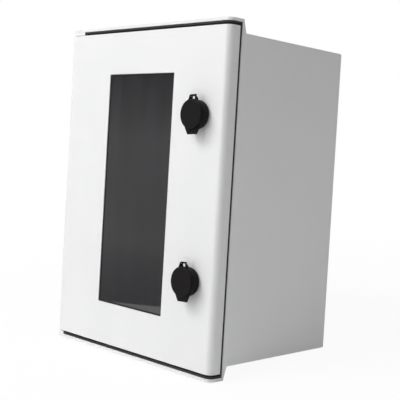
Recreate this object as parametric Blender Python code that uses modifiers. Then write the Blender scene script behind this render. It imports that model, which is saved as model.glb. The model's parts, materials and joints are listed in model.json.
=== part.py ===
# Wall-mounting enclosure for electrical equipment: a moulded body, a hinged door with a
# window, two quarter-turn locks under flip-up dust covers, and a mounting plate inside.
# Metres, +Z up. The origin is the centre of the back face, the door looks along -Y.

import math

import bpy
import bmesh
from mathutils import Matrix, Vector

# Overall size
ENCLOSURE_WIDTH = 0.300
ENCLOSURE_HEIGHT = 0.412
ENCLOSURE_DEPTH = 0.206

# Clearances
FIT_GAP = 0.0003
PIN_GAP = 0.00025

# How far a cutter stands out of the piece that it cuts through
CUT_THROUGH = 0.001

# Cross recess of a screw, in parts of its head
RECESS_LENGTH = 0.62
RECESS_WIDTH = 0.14
RECESS_DEPTH = 0.4

# Body moulding
BODY_DRAFT = math.radians(1.08)
FLANGE_RISE = 0.0151
LIP_THICKNESS = 0.0035
RIM_WALL = 0.005
BODY_WALL = 0.004
BACK_WALL = 0.004
FLANGE_EDGE_DEPTH = 0.002
FLANGE_ROOT_DEPTH = 0.0065
BODY_EDGE_RADIUS = 0.002

# Door moulding
DOOR_THICKNESS = 0.017
DOOR_SKIN = 0.004
DOOR_EDGE_GAP = 0.0044
DOOR_FRAME_WIDTH = 0.011
DOOR_HINGE_FRAME = 0.021
DOOR_EDGE_BEVEL = 0.0008
BULLNOSE_STEPS = 7

# Gasket between the door and the body
GASKET_THICKNESS = 0.0029
GASKET_SIDE_WIDTH = 0.0044
GASKET_END_WIDTH = 0.0115
GASKET_LIP_THICKNESS = 0.0022
GASKET_LIP_SETBACK = 0.0008

# Hinge pins, one at the top and one at the bottom of the door's left edge
HINGE_PIN_RADIUS = 0.0025
HINGE_PIN_HEAD_RADIUS = 0.0035
HINGE_PIN_HEAD = 0.0012
HINGE_PIN_REACH = 0.012
HINGE_BUSH_WALL = 0.0016
HINGE_BUSH_COLLAR = 0.0012

# Window
WINDOW_SIDE_MARGIN = 0.0885
WINDOW_END_MARGIN = 0.0526
PANE_SETBACK = 0.0009
PANE_WALL = 0.003
PANE_FLANGE_WIDTH = 0.007
PANE_FLANGE_THICKNESS = 0.0025
WINDOW_SEAL_LIP = 0.0012
WINDOW_SEAL_SHEET = 0.0015
WINDOW_FRAME_WIDTH = 0.0155
WINDOW_FRAME_THICKNESS = 0.0025
WINDOW_BOSS_RADIUS = 0.004
WINDOW_SCREW_RADIUS = 0.0014
WINDOW_SCREW_HEAD_RADIUS = 0.003
WINDOW_SCREW_HEAD = 0.0018
WINDOW_SCREW_REACH = 0.0034
WINDOW_SCREW_INSET = 0.0355

# Mounting plate on four bosses with threaded inserts
BOSS_RADIUS = 0.008
BOSS_HEIGHT = 0.016
BOSS_INSET_X = 0.0295
BOSS_INSET_Z = 0.0234
INSERT_RADIUS = 0.0045
INSERT_LENGTH = 0.011
PLATE_THICKNESS = 0.002
PLATE_EDGE_MARGIN = 0.009
PLATE_CORNER_RADIUS = 0.006
PLATE_SCREW_RADIUS = 0.0025
PLATE_SCREW_HEAD_RADIUS = 0.0048
PLATE_SCREW_HEAD = 0.0034
PLATE_SCREW_REACH = 0.009
WASHER_RADIUS = 0.0062
WASHER_THICKNESS = 0.0012

# Wall fixing holes in the back, closed by sealing plugs
WALL_HOLE_RADIUS = 0.0035
WALL_HOLE_INSET_X = 0.017
WALL_HOLE_INSET_Z = 0.017
PLUG_HEAD_RADIUS = 0.0065
PLUG_HEAD = 0.002

# Locks
LOCK_SPACING = 0.192
LOCK_INSET = 0.0405
LOCK_TURN = math.radians(3.0)
LOCK_SEAL_RADIUS = 0.016
LOCK_SEAL_THICKNESS = 0.0015
DRUM_RADIUS = 0.0168
DRUM_HEIGHT = 0.0082
WELL_RADIUS = 0.0126
WELL_DEPTH = 0.0053
SHANK_RADIUS = 0.011
CORE_RADIUS = 0.007
CORE_HEAD_HEIGHT = 0.0032
KEY_RADIUS = 0.0055
KEY_DEPTH = 0.0022
NUT_ACROSS_FLATS = 0.029
NUT_THICKNESS = 0.005
CAM_WIDTH = 0.014
CAM_WALL_CLEARANCE = 0.0035
CAM_THICKNESS = 0.003
CAM_SQUARE = 0.008
CAM_HUB_RADIUS = 0.0085
CAM_SCREW_RADIUS = 0.002
CAM_SCREW_HEAD_RADIUS = 0.0065
CAM_SCREW_HEAD = 0.0024
CAM_SCREW_REACH = 0.009

# Dust cover of a lock
COVER_RADIUS = 0.0176
CAP_RADIUS = 0.0172
COVER_HEIGHT = 0.0044
COVER_FLANGE = 0.0014
COVER_SKIN = 0.0016
COVER_EDGE_RADIUS = 0.0006
TAB_REACH = 0.0229
TAB_HALF_WIDTH = 0.0075
EAR_REACH = 0.0218
EAR_ROOT_HALF_WIDTH = 0.0076
EAR_THICKNESS = 0.0013
EAR_SETBACK = 0.0001
KNUCKLE_RADIUS = 0.00105
KNUCKLE_PIN_RADIUS = 0.00045
BASE_KNUCKLE_HALF = 0.0037
KNUCKLE_GAP = 0.0003
COVER_KNUCKLE_LENGTH = 0.0012
EYE_HALF_WIDTH = 0.0024

# Keepers that the cams catch, on moulded brackets of the right-hand wall
KEEPER_THICKNESS = 0.003
KEEPER_SETBACK = 0.005
KEEPER_WIDTH = 0.013
BRACKET_SPACING = 0.070
BRACKET_HEIGHT = 0.012
BRACKET_WIDTH = 0.011
BRACKET_LENGTH = 0.045
KEEPER_OVERHANG = 0.001
KEEPER_SCREW_RADIUS = 0.002
KEEPER_SCREW_HEAD_RADIUS = 0.004
KEEPER_SCREW_HEAD = 0.0024
KEEPER_SCREW_REACH = 0.010

# Facets of round pieces
LARGE_FACETS = 28
MEDIUM_FACETS = 16
SMALL_FACETS = 10

# Places worked out from the sizes
HALF_WIDTH = ENCLOSURE_WIDTH / 2
HALF_HEIGHT = ENCLOSURE_HEIGHT / 2
FRONT_Y = -ENCLOSURE_DEPTH
DOOR_BACK_Y = FRONT_Y + DOOR_THICKNESS
RIM_Y = DOOR_BACK_Y + GASKET_THICKNESS + 2 * FIT_GAP
BODY_DEPTH = -RIM_Y
BODY_HALF_HEIGHT = HALF_HEIGHT - FLANGE_RISE
BODY_TAPER = BODY_DEPTH * math.tan(BODY_DRAFT)
DOOR_HALF_HEIGHT = HALF_HEIGHT - LIP_THICKNESS - DOOR_EDGE_GAP
DOOR_EDGE_RADIUS = DOOR_THICKNESS / 2
SKIN_Y = FRONT_Y + DOOR_SKIN
WINDOW_WIDTH = ENCLOSURE_WIDTH - 2 * WINDOW_SIDE_MARGIN
WINDOW_HEIGHT = 2 * (DOOR_HALF_HEIGHT - WINDOW_END_MARGIN)
HINGE_X = DOOR_EDGE_RADIUS - HALF_WIDTH
HINGE_Y = FRONT_Y + DOOR_EDGE_RADIUS
CAVITY_BACK_Y = -BACK_WALL
PANE_FRONT_Y = FRONT_Y + PANE_SETBACK
PANE_FLANGE_Y = SKIN_Y + WINDOW_SEAL_SHEET + 2 * FIT_GAP
WINDOW_FRAME_Y = PANE_FLANGE_Y + PANE_FLANGE_THICKNESS + FIT_GAP
BOSS_TOP_Y = CAVITY_BACK_Y - BOSS_HEIGHT
BOSS_X = HALF_WIDTH - BODY_TAPER - BODY_WALL - BOSS_INSET_X
BOSS_Z = BODY_HALF_HEIGHT - BODY_TAPER - BODY_WALL - BOSS_INSET_Z
PLATE_Y = BOSS_TOP_Y - FIT_GAP - PLATE_THICKNESS
LOCK_X = HALF_WIDTH - LOCK_INSET
CAM_REACH = LOCK_INSET - RIM_WALL - CAM_WALL_CLEARANCE

# Levels of a lock, measured outwards from the door's face
SEAL_LEVEL = FIT_GAP
DRUM_LEVEL = SEAL_LEVEL + LOCK_SEAL_THICKNESS + FIT_GAP
DRUM_TOP = DRUM_LEVEL + DRUM_HEIGHT
WELL_LEVEL = DRUM_TOP - WELL_DEPTH
COVER_LEVEL = DRUM_TOP + FIT_GAP
COVER_TOP = COVER_LEVEL + COVER_HEIGHT
KNUCKLE_LEVEL = DRUM_TOP + FIT_GAP / 2
KNUCKLE_HEIGHT = EAR_REACH
COVER_KNUCKLE_START = BASE_KNUCKLE_HALF + KNUCKLE_GAP
EAR_TOP_HALF_WIDTH = COVER_KNUCKLE_START + COVER_KNUCKLE_LENGTH
NUT_LEVEL = -DOOR_SKIN - FIT_GAP
SHANK_END = FRONT_Y - RIM_Y - KEEPER_SETBACK - KEEPER_THICKNESS
CAM_LEVEL = SHANK_END - FIT_GAP
CORE_END = CAM_LEVEL - CAM_THICKNESS + FIT_GAP
KEEPER_Y = FRONT_Y - SHANK_END - KEEPER_THICKNESS


def clear_scene():
    for obj in list(bpy.data.objects):
        bpy.data.objects.remove(obj, do_unlink=True)


def make_collection(name):
    collection = bpy.data.collections.new(name)
    bpy.context.scene.collection.children.link(collection)
    return collection


def move_to(obj, collection):
    for owner in list(obj.users_collection):
        owner.objects.unlink(obj)
    collection.objects.link(obj)


def make_material(name, colour, roughness, metallic=0.0, alpha=1.0):
    material = bpy.data.materials.new(name)
    material.use_nodes = True
    shader = material.node_tree.nodes["Principled BSDF"]
    shader.inputs["Base Color"].default_value = (*colour, 1.0)
    shader.inputs["Roughness"].default_value = roughness
    shader.inputs["Metallic"].default_value = metallic
    shader.inputs["Alpha"].default_value = alpha
    return material


def shade(obj):
    obj.data.shade_smooth()
    obj.data.set_sharp_from_angle(angle=math.radians(35))


def mesh_object(name, mesh):
    obj = bpy.data.objects.new(name, mesh)
    bpy.context.scene.collection.objects.link(obj)
    return obj


# A box between two opposite corners
def box(name, low, high):
    low = Vector(low)
    high = Vector(high)
    bpy.ops.mesh.primitive_cube_add(size=1, location=(low + high) / 2)
    obj = bpy.context.object
    obj.name = name
    obj.scale = high - low
    bpy.ops.object.transform_apply(location=False, rotation=False, scale=True)
    return obj


# A box whose section shrinks from the front face to the back face
def tapered_box(name, half_x, half_z, front_y, back_y, taper):
    obj = box(name, (-half_x, front_y, -half_z), (half_x, back_y, half_z))
    for vertex in obj.data.vertices:
        if vertex.co.y > 0:
            vertex.co.x -= math.copysign(taper, vertex.co.x)
            vertex.co.z -= math.copysign(taper, vertex.co.z)
    return obj


# Turns that lay a cylinder's own axis along X, Y or Z
AXES = {
    "X": Matrix.Rotation(math.radians(90), 4, "Y"),
    "Y": Matrix.Rotation(math.radians(-90), 4, "X"),
    "Z": Matrix.Identity(4),
}


# A cylinder along one axis, from one level to a higher one
def cylinder(name, radius, axis, centre, start, end, facets):
    bpy.ops.mesh.primitive_cylinder_add(vertices=facets, radius=radius, depth=end - start)
    obj = bpy.context.object
    obj.name = name
    place = Vector(centre)
    place["XYZ".index(axis)] = (start + end) / 2
    obj.matrix_world = Matrix.Translation(place) @ AXES[axis]
    shade(obj)
    return obj


# A turned piece about the Y axis: points are (radius, level outwards from the door's face)
def turned(name, profile, facets, closed):
    mesh = bpy.data.meshes.new(name)
    count = len(profile)
    points = [(radius, 0, level) for radius, level in profile]
    edges = [(i, i + 1) for i in range(count - 1)]
    if closed:
        edges.append((count - 1, 0))
    mesh.from_pydata(points, edges, [])
    obj = mesh_object(name, mesh)
    screw = obj.modifiers.new("Turn", "SCREW")
    screw.steps = facets
    screw.render_steps = facets
    screw.use_merge_vertices = True
    screw.merge_threshold = 0.00001
    screw.use_smooth_shade = False
    obj.rotation_euler = (math.radians(90), 0, 0)
    return obj


# A flat outline, with holes as further outlines, extruded along X, Y or Z
PLANES = {
    "X": Matrix(((0, 0, 1, 0), (1, 0, 0, 0), (0, 1, 0, 0), (0, 0, 0, 1))),
    "Y": Matrix(((1, 0, 0, 0), (0, 0, -1, 0), (0, 1, 0, 0), (0, 0, 0, 1))),
    "Z": Matrix.Identity(4),
}


def prism(name, outlines, axis, start, end):
    curve = bpy.data.curves.new(name, "CURVE")
    curve.dimensions = "2D"
    curve.fill_mode = "BOTH"
    curve.extrude = (end - start) / 2
    for outline in outlines:
        spline = curve.splines.new("POLY")
        spline.points.add(len(outline) - 1)
        for point, place in zip(spline.points, outline):
            point.co = (place[0], place[1], 0, 1)
        spline.use_cyclic_u = True
    flat = bpy.data.objects.new(name, curve)
    bpy.context.scene.collection.objects.link(flat)
    offset = Vector((0, 0, 0))
    offset["XYZ".index(axis)] = (start + end) / 2
    flat.matrix_world = Matrix.Translation(offset) @ PLANES[axis]
    bpy.context.view_layer.update()
    graph = bpy.context.evaluated_depsgraph_get()
    mesh = bpy.data.meshes.new_from_object(flat.evaluated_get(graph))
    solid = bmesh.new()
    solid.from_mesh(mesh)
    bmesh.ops.remove_doubles(solid, verts=solid.verts, dist=0.000001)
    solid.to_mesh(mesh)
    solid.free()
    place = flat.matrix_world.copy()
    bpy.data.objects.remove(flat, do_unlink=True)
    obj = mesh_object(name, mesh)
    obj.matrix_world = place
    shade(obj)
    return obj


def arc(centre, radius, start, end, steps):
    points = []
    for i in range(steps + 1):
        angle = math.radians(start + (end - start) * i / steps)
        points.append((centre[0] + radius * math.cos(angle), centre[1] + radius * math.sin(angle)))
    return points


def rectangle(half_x, half_y, centre=(0, 0)):
    return [
        (centre[0] - half_x, centre[1] - half_y),
        (centre[0] + half_x, centre[1] - half_y),
        (centre[0] + half_x, centre[1] + half_y),
        (centre[0] - half_x, centre[1] + half_y),
    ]


def rounded_rectangle(half_x, half_y, radius, steps=4):
    points = []
    corners = ((1, 1, 0), (-1, 1, 90), (-1, -1, 180), (1, -1, 270))
    for side_x, side_y, start in corners:
        centre = (side_x * (half_x - radius), side_y * (half_y - radius))
        points += arc(centre, radius, start, start + 90, steps)
    return points


def bevel(obj, width, segments=1):
    modifier = obj.modifiers.new("Edge", "BEVEL")
    modifier.width = width
    modifier.segments = segments
    modifier.limit_method = "ANGLE"
    modifier.angle_limit = math.radians(50)


def boolean(obj, tool, operation):
    modifier = obj.modifiers.new(tool.name, "BOOLEAN")
    modifier.operation = operation
    modifier.solver = "EXACT"
    modifier.object = tool
    tool.hide_render = True
    tool.display_type = "WIRE"
    move_to(tool, TOOLS)


def cut(obj, tool):
    boolean(obj, tool, "DIFFERENCE")


def fuse(obj, tool):
    boolean(obj, tool, "UNION")


def finish(obj, material):
    obj.data.materials.clear()
    obj.data.materials.append(material)
    move_to(obj, PARTS)
    return obj


def make_empty(name, place, parent=None):
    empty = bpy.data.objects.new(name, None)
    empty.empty_display_size = 0.02
    PARTS.objects.link(empty)
    empty.parent = parent
    empty.matrix_local = place
    bpy.context.view_layer.update()
    return empty


# Parents a piece that was modelled in world coordinates
def attach(obj, parent):
    bpy.context.view_layer.update()
    obj.parent = parent
    obj.matrix_parent_inverse = parent.matrix_world.inverted()


# Parents a piece, and what cuts it, that was modelled in the parent's own coordinates
def seat(obj, parent):
    tools = [m.object for m in obj.modifiers if m.type == "BOOLEAN"]
    for piece in [obj] + tools:
        piece.parent = parent


# Plan of the door: a half-round hinge edge, a rounded front edge on the lock side
def door_plan():
    radius = DOOR_EDGE_RADIUS
    steps = BULLNOSE_STEPS
    hinge_edge = arc((HINGE_X, HINGE_Y), radius, 270, 90, 2 * steps)
    lock_edge = arc((HALF_WIDTH - radius, FRONT_Y + radius), radius, 0, -90, steps)
    return hinge_edge + [(HALF_WIDTH, DOOR_BACK_Y)] + lock_edge


# Plan of the body's lips, which follow the door's front corners
def lip_plan(inset=0.0):
    radius = DOOR_EDGE_RADIUS
    left = arc((HINGE_X, HINGE_Y), radius - inset, 180, 270, BULLNOSE_STEPS)
    centre = (HALF_WIDTH - radius, FRONT_Y + radius)
    right = arc(centre, radius - inset, 270, 360, BULLNOSE_STEPS)
    side = HALF_WIDTH - inset
    return left + right + [(side, CAVITY_BACK_Y), (-side, CAVITY_BACK_Y)]


# Profile of the top flange and its lip, as (Y, Z); the bottom one mirrors it
def flange_profile(sign):
    lip_inside = HALF_HEIGHT - LIP_THICKNESS
    root = BODY_HALF_HEIGHT - RIM_WALL
    points = [
        (FRONT_Y, lip_inside),
        (FRONT_Y, HALF_HEIGHT),
        (RIM_Y + FLANGE_EDGE_DEPTH, HALF_HEIGHT),
        (RIM_Y + FLANGE_ROOT_DEPTH, BODY_HALF_HEIGHT - FIT_GAP),
        (RIM_Y + FLANGE_ROOT_DEPTH, root),
        (RIM_Y, root),
        (RIM_Y, lip_inside),
    ]
    return [(y, sign * z) for y, z in points]


def boss_places():
    return [(x * BOSS_X, z * BOSS_Z) for x in (-1, 1) for z in (-1, 1)]


def wall_hole_places():
    half_x = HALF_WIDTH - BODY_TAPER - WALL_HOLE_INSET_X
    half_z = BODY_HALF_HEIGHT - BODY_TAPER - WALL_HOLE_INSET_Z
    return [(x * half_x, z * half_z) for x in (-1, 1) for z in (-1, 1)]


def lock_places():
    return {"upper": LOCK_SPACING / 2, "lower": -LOCK_SPACING / 2}


def bracket_places():
    return [
        z + side * BRACKET_SPACING / 2
        for z in lock_places().values() for side in (-1, 1)
    ]


# Inner face of the right-hand wall at the rim
def inner_wall_x():
    return HALF_WIDTH - RIM_WALL


def keeper_screw_x():
    return inner_wall_x() - BRACKET_WIDTH / 2


def bush_radius():
    return HINGE_PIN_RADIUS + PIN_GAP + HINGE_BUSH_WALL


def make_body():
    body = tapered_box(
        "enclosure_body", HALF_WIDTH, BODY_HALF_HEIGHT, RIM_Y, 0, BODY_TAPER)
    bevel(body, BODY_EDGE_RADIUS, 2)
    plan = prism("lip_plan", [lip_plan()], "Z", -ENCLOSURE_HEIGHT, ENCLOSURE_HEIGHT)
    for sign, name in ((1, "top"), (-1, "bottom")):
        flange = prism(
            name + "_flange", [flange_profile(sign)], "X", -HALF_WIDTH, HALF_WIDTH)
        boolean(flange, plan, "INTERSECT")
        fuse(body, flange)
    cavity_taper = BODY_TAPER + BODY_WALL - RIM_WALL
    cavity = tapered_box(
        "cavity", HALF_WIDTH - RIM_WALL, BODY_HALF_HEIGHT - RIM_WALL,
        RIM_Y - FIT_GAP, CAVITY_BACK_Y, cavity_taper)
    cut(body, cavity)
    for i, (x, z) in enumerate(boss_places(), 1):
        boss = cylinder(
            f"boss_{i}", BOSS_RADIUS, "Y", (x, 0, z), BOSS_TOP_Y,
            CAVITY_BACK_Y + FIT_GAP, MEDIUM_FACETS)
        fuse(body, boss)
        bore = cylinder(
            f"boss_bore_{i}", INSERT_RADIUS + FIT_GAP, "Y", (x, 0, z),
            BOSS_TOP_Y - FIT_GAP, BOSS_TOP_Y + INSERT_LENGTH + 2 * FIT_GAP, SMALL_FACETS)
        cut(body, bore)
    for i, z in enumerate(bracket_places(), 1):
        wall = inner_wall_x()
        outline = [
            (wall - BRACKET_WIDTH, KEEPER_Y + KEEPER_THICKNESS + FIT_GAP),
            (wall + FIT_GAP, KEEPER_Y + KEEPER_THICKNESS + FIT_GAP),
            (wall + FIT_GAP, KEEPER_Y + BRACKET_LENGTH),
        ]
        bracket = prism(
            f"bracket_{i}", [outline], "Z", z - BRACKET_HEIGHT / 2, z + BRACKET_HEIGHT / 2)
        fuse(body, bracket)
        hole = cylinder(
            f"bracket_hole_{i}", KEEPER_SCREW_RADIUS + PIN_GAP, "Y", (keeper_screw_x(), 0, z),
            KEEPER_Y, KEEPER_Y + KEEPER_THICKNESS + KEEPER_SCREW_REACH + FIT_GAP, SMALL_FACETS)
        cut(body, hole)
    for i, (x, z) in enumerate(wall_hole_places(), 1):
        hole = cylinder(
            f"wall_hole_{i}", WALL_HOLE_RADIUS, "Y", (x, 0, z),
            CAVITY_BACK_Y - BACK_WALL, BACK_WALL, SMALL_FACETS)
        cut(body, hole)
    for sign, name in ((1, "top"), (-1, "bottom")):
        ends = sorted((sign * (HALF_HEIGHT - 2 * LIP_THICKNESS), sign * (HALF_HEIGHT + CUT_THROUGH)))
        hole = cylinder(
            name + "_pin_hole", HINGE_PIN_RADIUS + PIN_GAP, "Z", (HINGE_X, HINGE_Y, 0),
            *ends, SMALL_FACETS)
        cut(body, hole)
        seat_level = HALF_HEIGHT - HINGE_PIN_HEAD - 2 * PIN_GAP
        ends = sorted((sign * seat_level, sign * (HALF_HEIGHT + CUT_THROUGH)))
        head = cylinder(
            name + "_pin_head_seat", HINGE_PIN_HEAD_RADIUS + PIN_GAP, "Z",
            (HINGE_X, HINGE_Y, 0), *ends, SMALL_FACETS)
        cut(body, head)
    return finish(body, MATERIALS["moulded_body"])


# A frame behind the door's edge, and a strip along each lip
def make_door_gasket():
    outer_x = HALF_WIDTH - FIT_GAP
    outer_z = HALF_HEIGHT - LIP_THICKNESS - FIT_GAP
    frame_y = DOOR_BACK_Y + FIT_GAP
    back_y = frame_y + GASKET_THICKNESS
    plan = lip_plan(FIT_GAP)[:-2] + [(outer_x, back_y), (-outer_x, back_y)]
    gasket = prism("door_gasket", [plan], "Z", -outer_z, outer_z)
    setback = box(
        "gasket_setback", (-ENCLOSURE_WIDTH, FRONT_Y - CUT_THROUGH, -ENCLOSURE_HEIGHT),
        (ENCLOSURE_WIDTH, FRONT_Y + GASKET_LIP_SETBACK, ENCLOSURE_HEIGHT))
    cut(gasket, setback)
    door_space_z = outer_z - GASKET_LIP_THICKNESS
    door_space = box(
        "door_space", (-ENCLOSURE_WIDTH, FRONT_Y - CUT_THROUGH, -door_space_z),
        (ENCLOSURE_WIDTH, frame_y, door_space_z))
    cut(gasket, door_space)
    inner_x = outer_x - GASKET_SIDE_WIDTH
    inner_z = outer_z - GASKET_END_WIDTH
    opening = box(
        "gasket_opening", (-inner_x, frame_y - CUT_THROUGH, -inner_z),
        (inner_x, back_y + CUT_THROUGH, inner_z))
    cut(gasket, opening)
    relief = cylinder(
        "gasket_relief", bush_radius() + PIN_GAP, "Z", (HINGE_X, HINGE_Y, 0),
        -ENCLOSURE_HEIGHT, ENCLOSURE_HEIGHT, MEDIUM_FACETS)
    cut(gasket, relief)
    return finish(gasket, MATERIALS["black_rubber"])


def window_boss_places():
    reach_x = WINDOW_WIDTH / 2 + PANE_FLANGE_WIDTH + FIT_GAP + WINDOW_BOSS_RADIUS
    reach_z = WINDOW_HEIGHT / 2 + PANE_FLANGE_WIDTH + FIT_GAP + WINDOW_BOSS_RADIUS
    row_z = WINDOW_HEIGHT / 2 - WINDOW_SCREW_INSET
    places = [(side * reach_x, row * row_z) for side in (-1, 1) for row in (-1, 0, 1)]
    return places + [(0, -reach_z), (0, reach_z)]


def make_door():
    door = prism("door", [door_plan()], "Z", -DOOR_HALF_HEIGHT, DOOR_HALF_HEIGHT)
    bevel(door, DOOR_EDGE_BEVEL)
    pocket = box(
        "door_pocket",
        (-HALF_WIDTH + DOOR_HINGE_FRAME, SKIN_Y, -DOOR_HALF_HEIGHT + DOOR_FRAME_WIDTH),
        (HALF_WIDTH - DOOR_FRAME_WIDTH, DOOR_BACK_Y + CUT_THROUGH, DOOR_HALF_HEIGHT - DOOR_FRAME_WIDTH))
    cut(door, pocket)
    opening = box(
        "window_opening",
        (-WINDOW_WIDTH / 2, FRONT_Y - CUT_THROUGH, -WINDOW_HEIGHT / 2),
        (WINDOW_WIDTH / 2, SKIN_Y + CUT_THROUGH, WINDOW_HEIGHT / 2))
    cut(door, opening)
    for i, (x, z) in enumerate(window_boss_places(), 1):
        top = WINDOW_FRAME_Y - FIT_GAP
        boss = cylinder(
            f"window_boss_{i}", WINDOW_BOSS_RADIUS, "Y", (x, 0, z),
            SKIN_Y - FIT_GAP, top, SMALL_FACETS)
        fuse(door, boss)
        hole = cylinder(
            f"window_boss_hole_{i}", WINDOW_SCREW_RADIUS + PIN_GAP, "Y", (x, 0, z),
            top - WINDOW_SCREW_REACH - FIT_GAP, top + FIT_GAP, SMALL_FACETS)
        cut(door, hole)
    for name, z in lock_places().items():
        hole = cylinder(
            name + "_lock_hole", SHANK_RADIUS + FIT_GAP, "Y", (LOCK_X, 0, z),
            FRONT_Y - CUT_THROUGH, SKIN_Y + CUT_THROUGH, MEDIUM_FACETS)
        cut(door, hole)
    for sign, name in ((1, "top"), (-1, "bottom")):
        depth = HINGE_PIN_REACH + 2 * FIT_GAP
        ends = sorted((sign * (DOOR_HALF_HEIGHT - depth), sign * (DOOR_HALF_HEIGHT + CUT_THROUGH)))
        hole = cylinder(
            name + "_bush_hole", bush_radius() + PIN_GAP, "Z", (HINGE_X, HINGE_Y, 0),
            *ends, MEDIUM_FACETS)
        cut(door, hole)
    return finish(door, MATERIALS["moulded_door"])


def make_hinge(sign, name, door_axis):
    top = sign * (HALF_HEIGHT - PIN_GAP)
    reach = DOOR_HALF_HEIGHT - HINGE_PIN_REACH
    pin = cylinder(
        f"hinge_pin_{name}", HINGE_PIN_RADIUS, "Z", (HINGE_X, HINGE_Y, 0),
        *sorted((top, sign * reach)), SMALL_FACETS)
    head = cylinder(
        f"{name}_pin_head", HINGE_PIN_HEAD_RADIUS, "Z", (HINGE_X, HINGE_Y, 0),
        *sorted((top, top - sign * HINGE_PIN_HEAD)), SMALL_FACETS)
    fuse(pin, head)
    finish(pin, MATERIALS["steel"])
    inner = HINGE_PIN_RADIUS + PIN_GAP
    outer = bush_radius()
    low = DOOR_HALF_HEIGHT - HINGE_PIN_REACH
    high = HALF_HEIGHT - LIP_THICKNESS - FIT_GAP
    bush = cylinder(
        f"hinge_bush_{name}", outer, "Z", (HINGE_X, HINGE_Y, 0),
        *sorted((sign * low, sign * high)), MEDIUM_FACETS)
    collar_low = DOOR_HALF_HEIGHT + PIN_GAP
    collar = cylinder(
        f"{name}_bush_collar", outer + HINGE_BUSH_COLLAR, "Z", (HINGE_X, HINGE_Y, 0),
        *sorted((sign * collar_low, sign * (collar_low + HINGE_BUSH_COLLAR))), MEDIUM_FACETS)
    fuse(bush, collar)
    bore = cylinder(
        f"{name}_bush_bore", inner, "Z", (HINGE_X, HINGE_Y, 0),
        *sorted((sign * (low - CUT_THROUGH), sign * (high + CUT_THROUGH))), SMALL_FACETS)
    cut(bush, bore)
    finish(bush, MATERIALS["black_plastic"])
    attach(bush, door_axis)


# A moulded tray: a raised face in the opening and a flange behind the door's skin
def make_window_pane():
    gap = 2 * FIT_GAP + WINDOW_SEAL_LIP
    half_x = WINDOW_WIDTH / 2 - gap
    half_z = WINDOW_HEIGHT / 2 - gap
    back = PANE_FLANGE_Y + PANE_FLANGE_THICKNESS
    pane = box("window_pane", (-half_x, PANE_FRONT_Y, -half_z), (half_x, back, half_z))
    flange_x = WINDOW_WIDTH / 2 + PANE_FLANGE_WIDTH
    flange_z = WINDOW_HEIGHT / 2 + PANE_FLANGE_WIDTH
    flange = box(
        "pane_flange", (-flange_x, PANE_FLANGE_Y, -flange_z), (flange_x, back, flange_z))
    fuse(pane, flange)
    hollow_x = half_x - PANE_WALL
    hollow_z = half_z - PANE_WALL
    hollow = box(
        "pane_hollow", (-hollow_x, PANE_FRONT_Y + PANE_WALL, -hollow_z),
        (hollow_x, back + CUT_THROUGH, hollow_z))
    cut(pane, hollow)
    return finish(pane, MATERIALS["smoked_pane"])


# An angle section: a lip in the opening and a sheet between the skin and the pane's flange
def make_window_seal():
    outer_x = WINDOW_WIDTH / 2 - FIT_GAP
    outer_z = WINDOW_HEIGHT / 2 - FIT_GAP
    inner_x = outer_x - WINDOW_SEAL_LIP
    inner_z = outer_z - WINDOW_SEAL_LIP
    sheet_y = SKIN_Y + FIT_GAP
    lip = prism(
        "window_seal", [rectangle(outer_x, outer_z), rectangle(inner_x, inner_z)], "Y",
        FRONT_Y + PANE_SETBACK / 2, sheet_y + WINDOW_SEAL_SHEET)
    sheet_x = WINDOW_WIDTH / 2 + PANE_FLANGE_WIDTH
    sheet_z = WINDOW_HEIGHT / 2 + PANE_FLANGE_WIDTH
    sheet = prism(
        "seal_sheet", [rectangle(sheet_x, sheet_z), rectangle(inner_x, inner_z)], "Y",
        sheet_y, sheet_y + WINDOW_SEAL_SHEET)
    fuse(lip, sheet)
    return finish(lip, MATERIALS["black_rubber"])


def make_window_frame():
    outer_x = WINDOW_WIDTH / 2 + WINDOW_FRAME_WIDTH
    outer_z = WINDOW_HEIGHT / 2 + WINDOW_FRAME_WIDTH
    inner = rectangle(WINDOW_WIDTH / 2, WINDOW_HEIGHT / 2)
    outer = rounded_rectangle(outer_x, outer_z, WINDOW_BOSS_RADIUS)
    frame = prism(
        "window_frame", [outer, inner], "Y",
        WINDOW_FRAME_Y, WINDOW_FRAME_Y + WINDOW_FRAME_THICKNESS)
    for i, (x, z) in enumerate(window_boss_places(), 1):
        hole = cylinder(
            f"window_frame_hole_{i}", WINDOW_SCREW_RADIUS + PIN_GAP, "Y", (x, 0, z),
            WINDOW_FRAME_Y - CUT_THROUGH, WINDOW_FRAME_Y + WINDOW_FRAME_THICKNESS + CUT_THROUGH,
            SMALL_FACETS)
        cut(frame, hole)
    return finish(frame, MATERIALS["black_plastic"])


# A round-headed screw along Y; side is +1 where its head faces the wall, -1 where it faces out
def make_screw(name, place, head_y, side, radius, head_radius, head, reach, material):
    x, z = place
    shank = cylinder(
        name, radius, "Y", (x, 0, z),
        *sorted((head_y + side * head / 2, head_y - side * reach)), SMALL_FACETS)
    cap = cylinder(
        name + "_head", head_radius, "Y", (x, 0, z),
        *sorted((head_y, head_y + side * head)), SMALL_FACETS)
    fuse(shank, cap)
    slot_y = head_y + side * head
    for turn in (0, 90):
        wide = head_radius * RECESS_LENGTH
        narrow = head_radius * RECESS_WIDTH
        half = (wide, narrow) if turn == 0 else (narrow, wide)
        ends = sorted((slot_y - side * head * RECESS_DEPTH, slot_y + side * CUT_THROUGH))
        slot = box(
            f"{name}_slot_{turn}", (x - half[0], ends[0], z - half[1]),
            (x + half[0], ends[1], z + half[1]))
        cut(shank, slot)
    return finish(shank, material)


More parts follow.
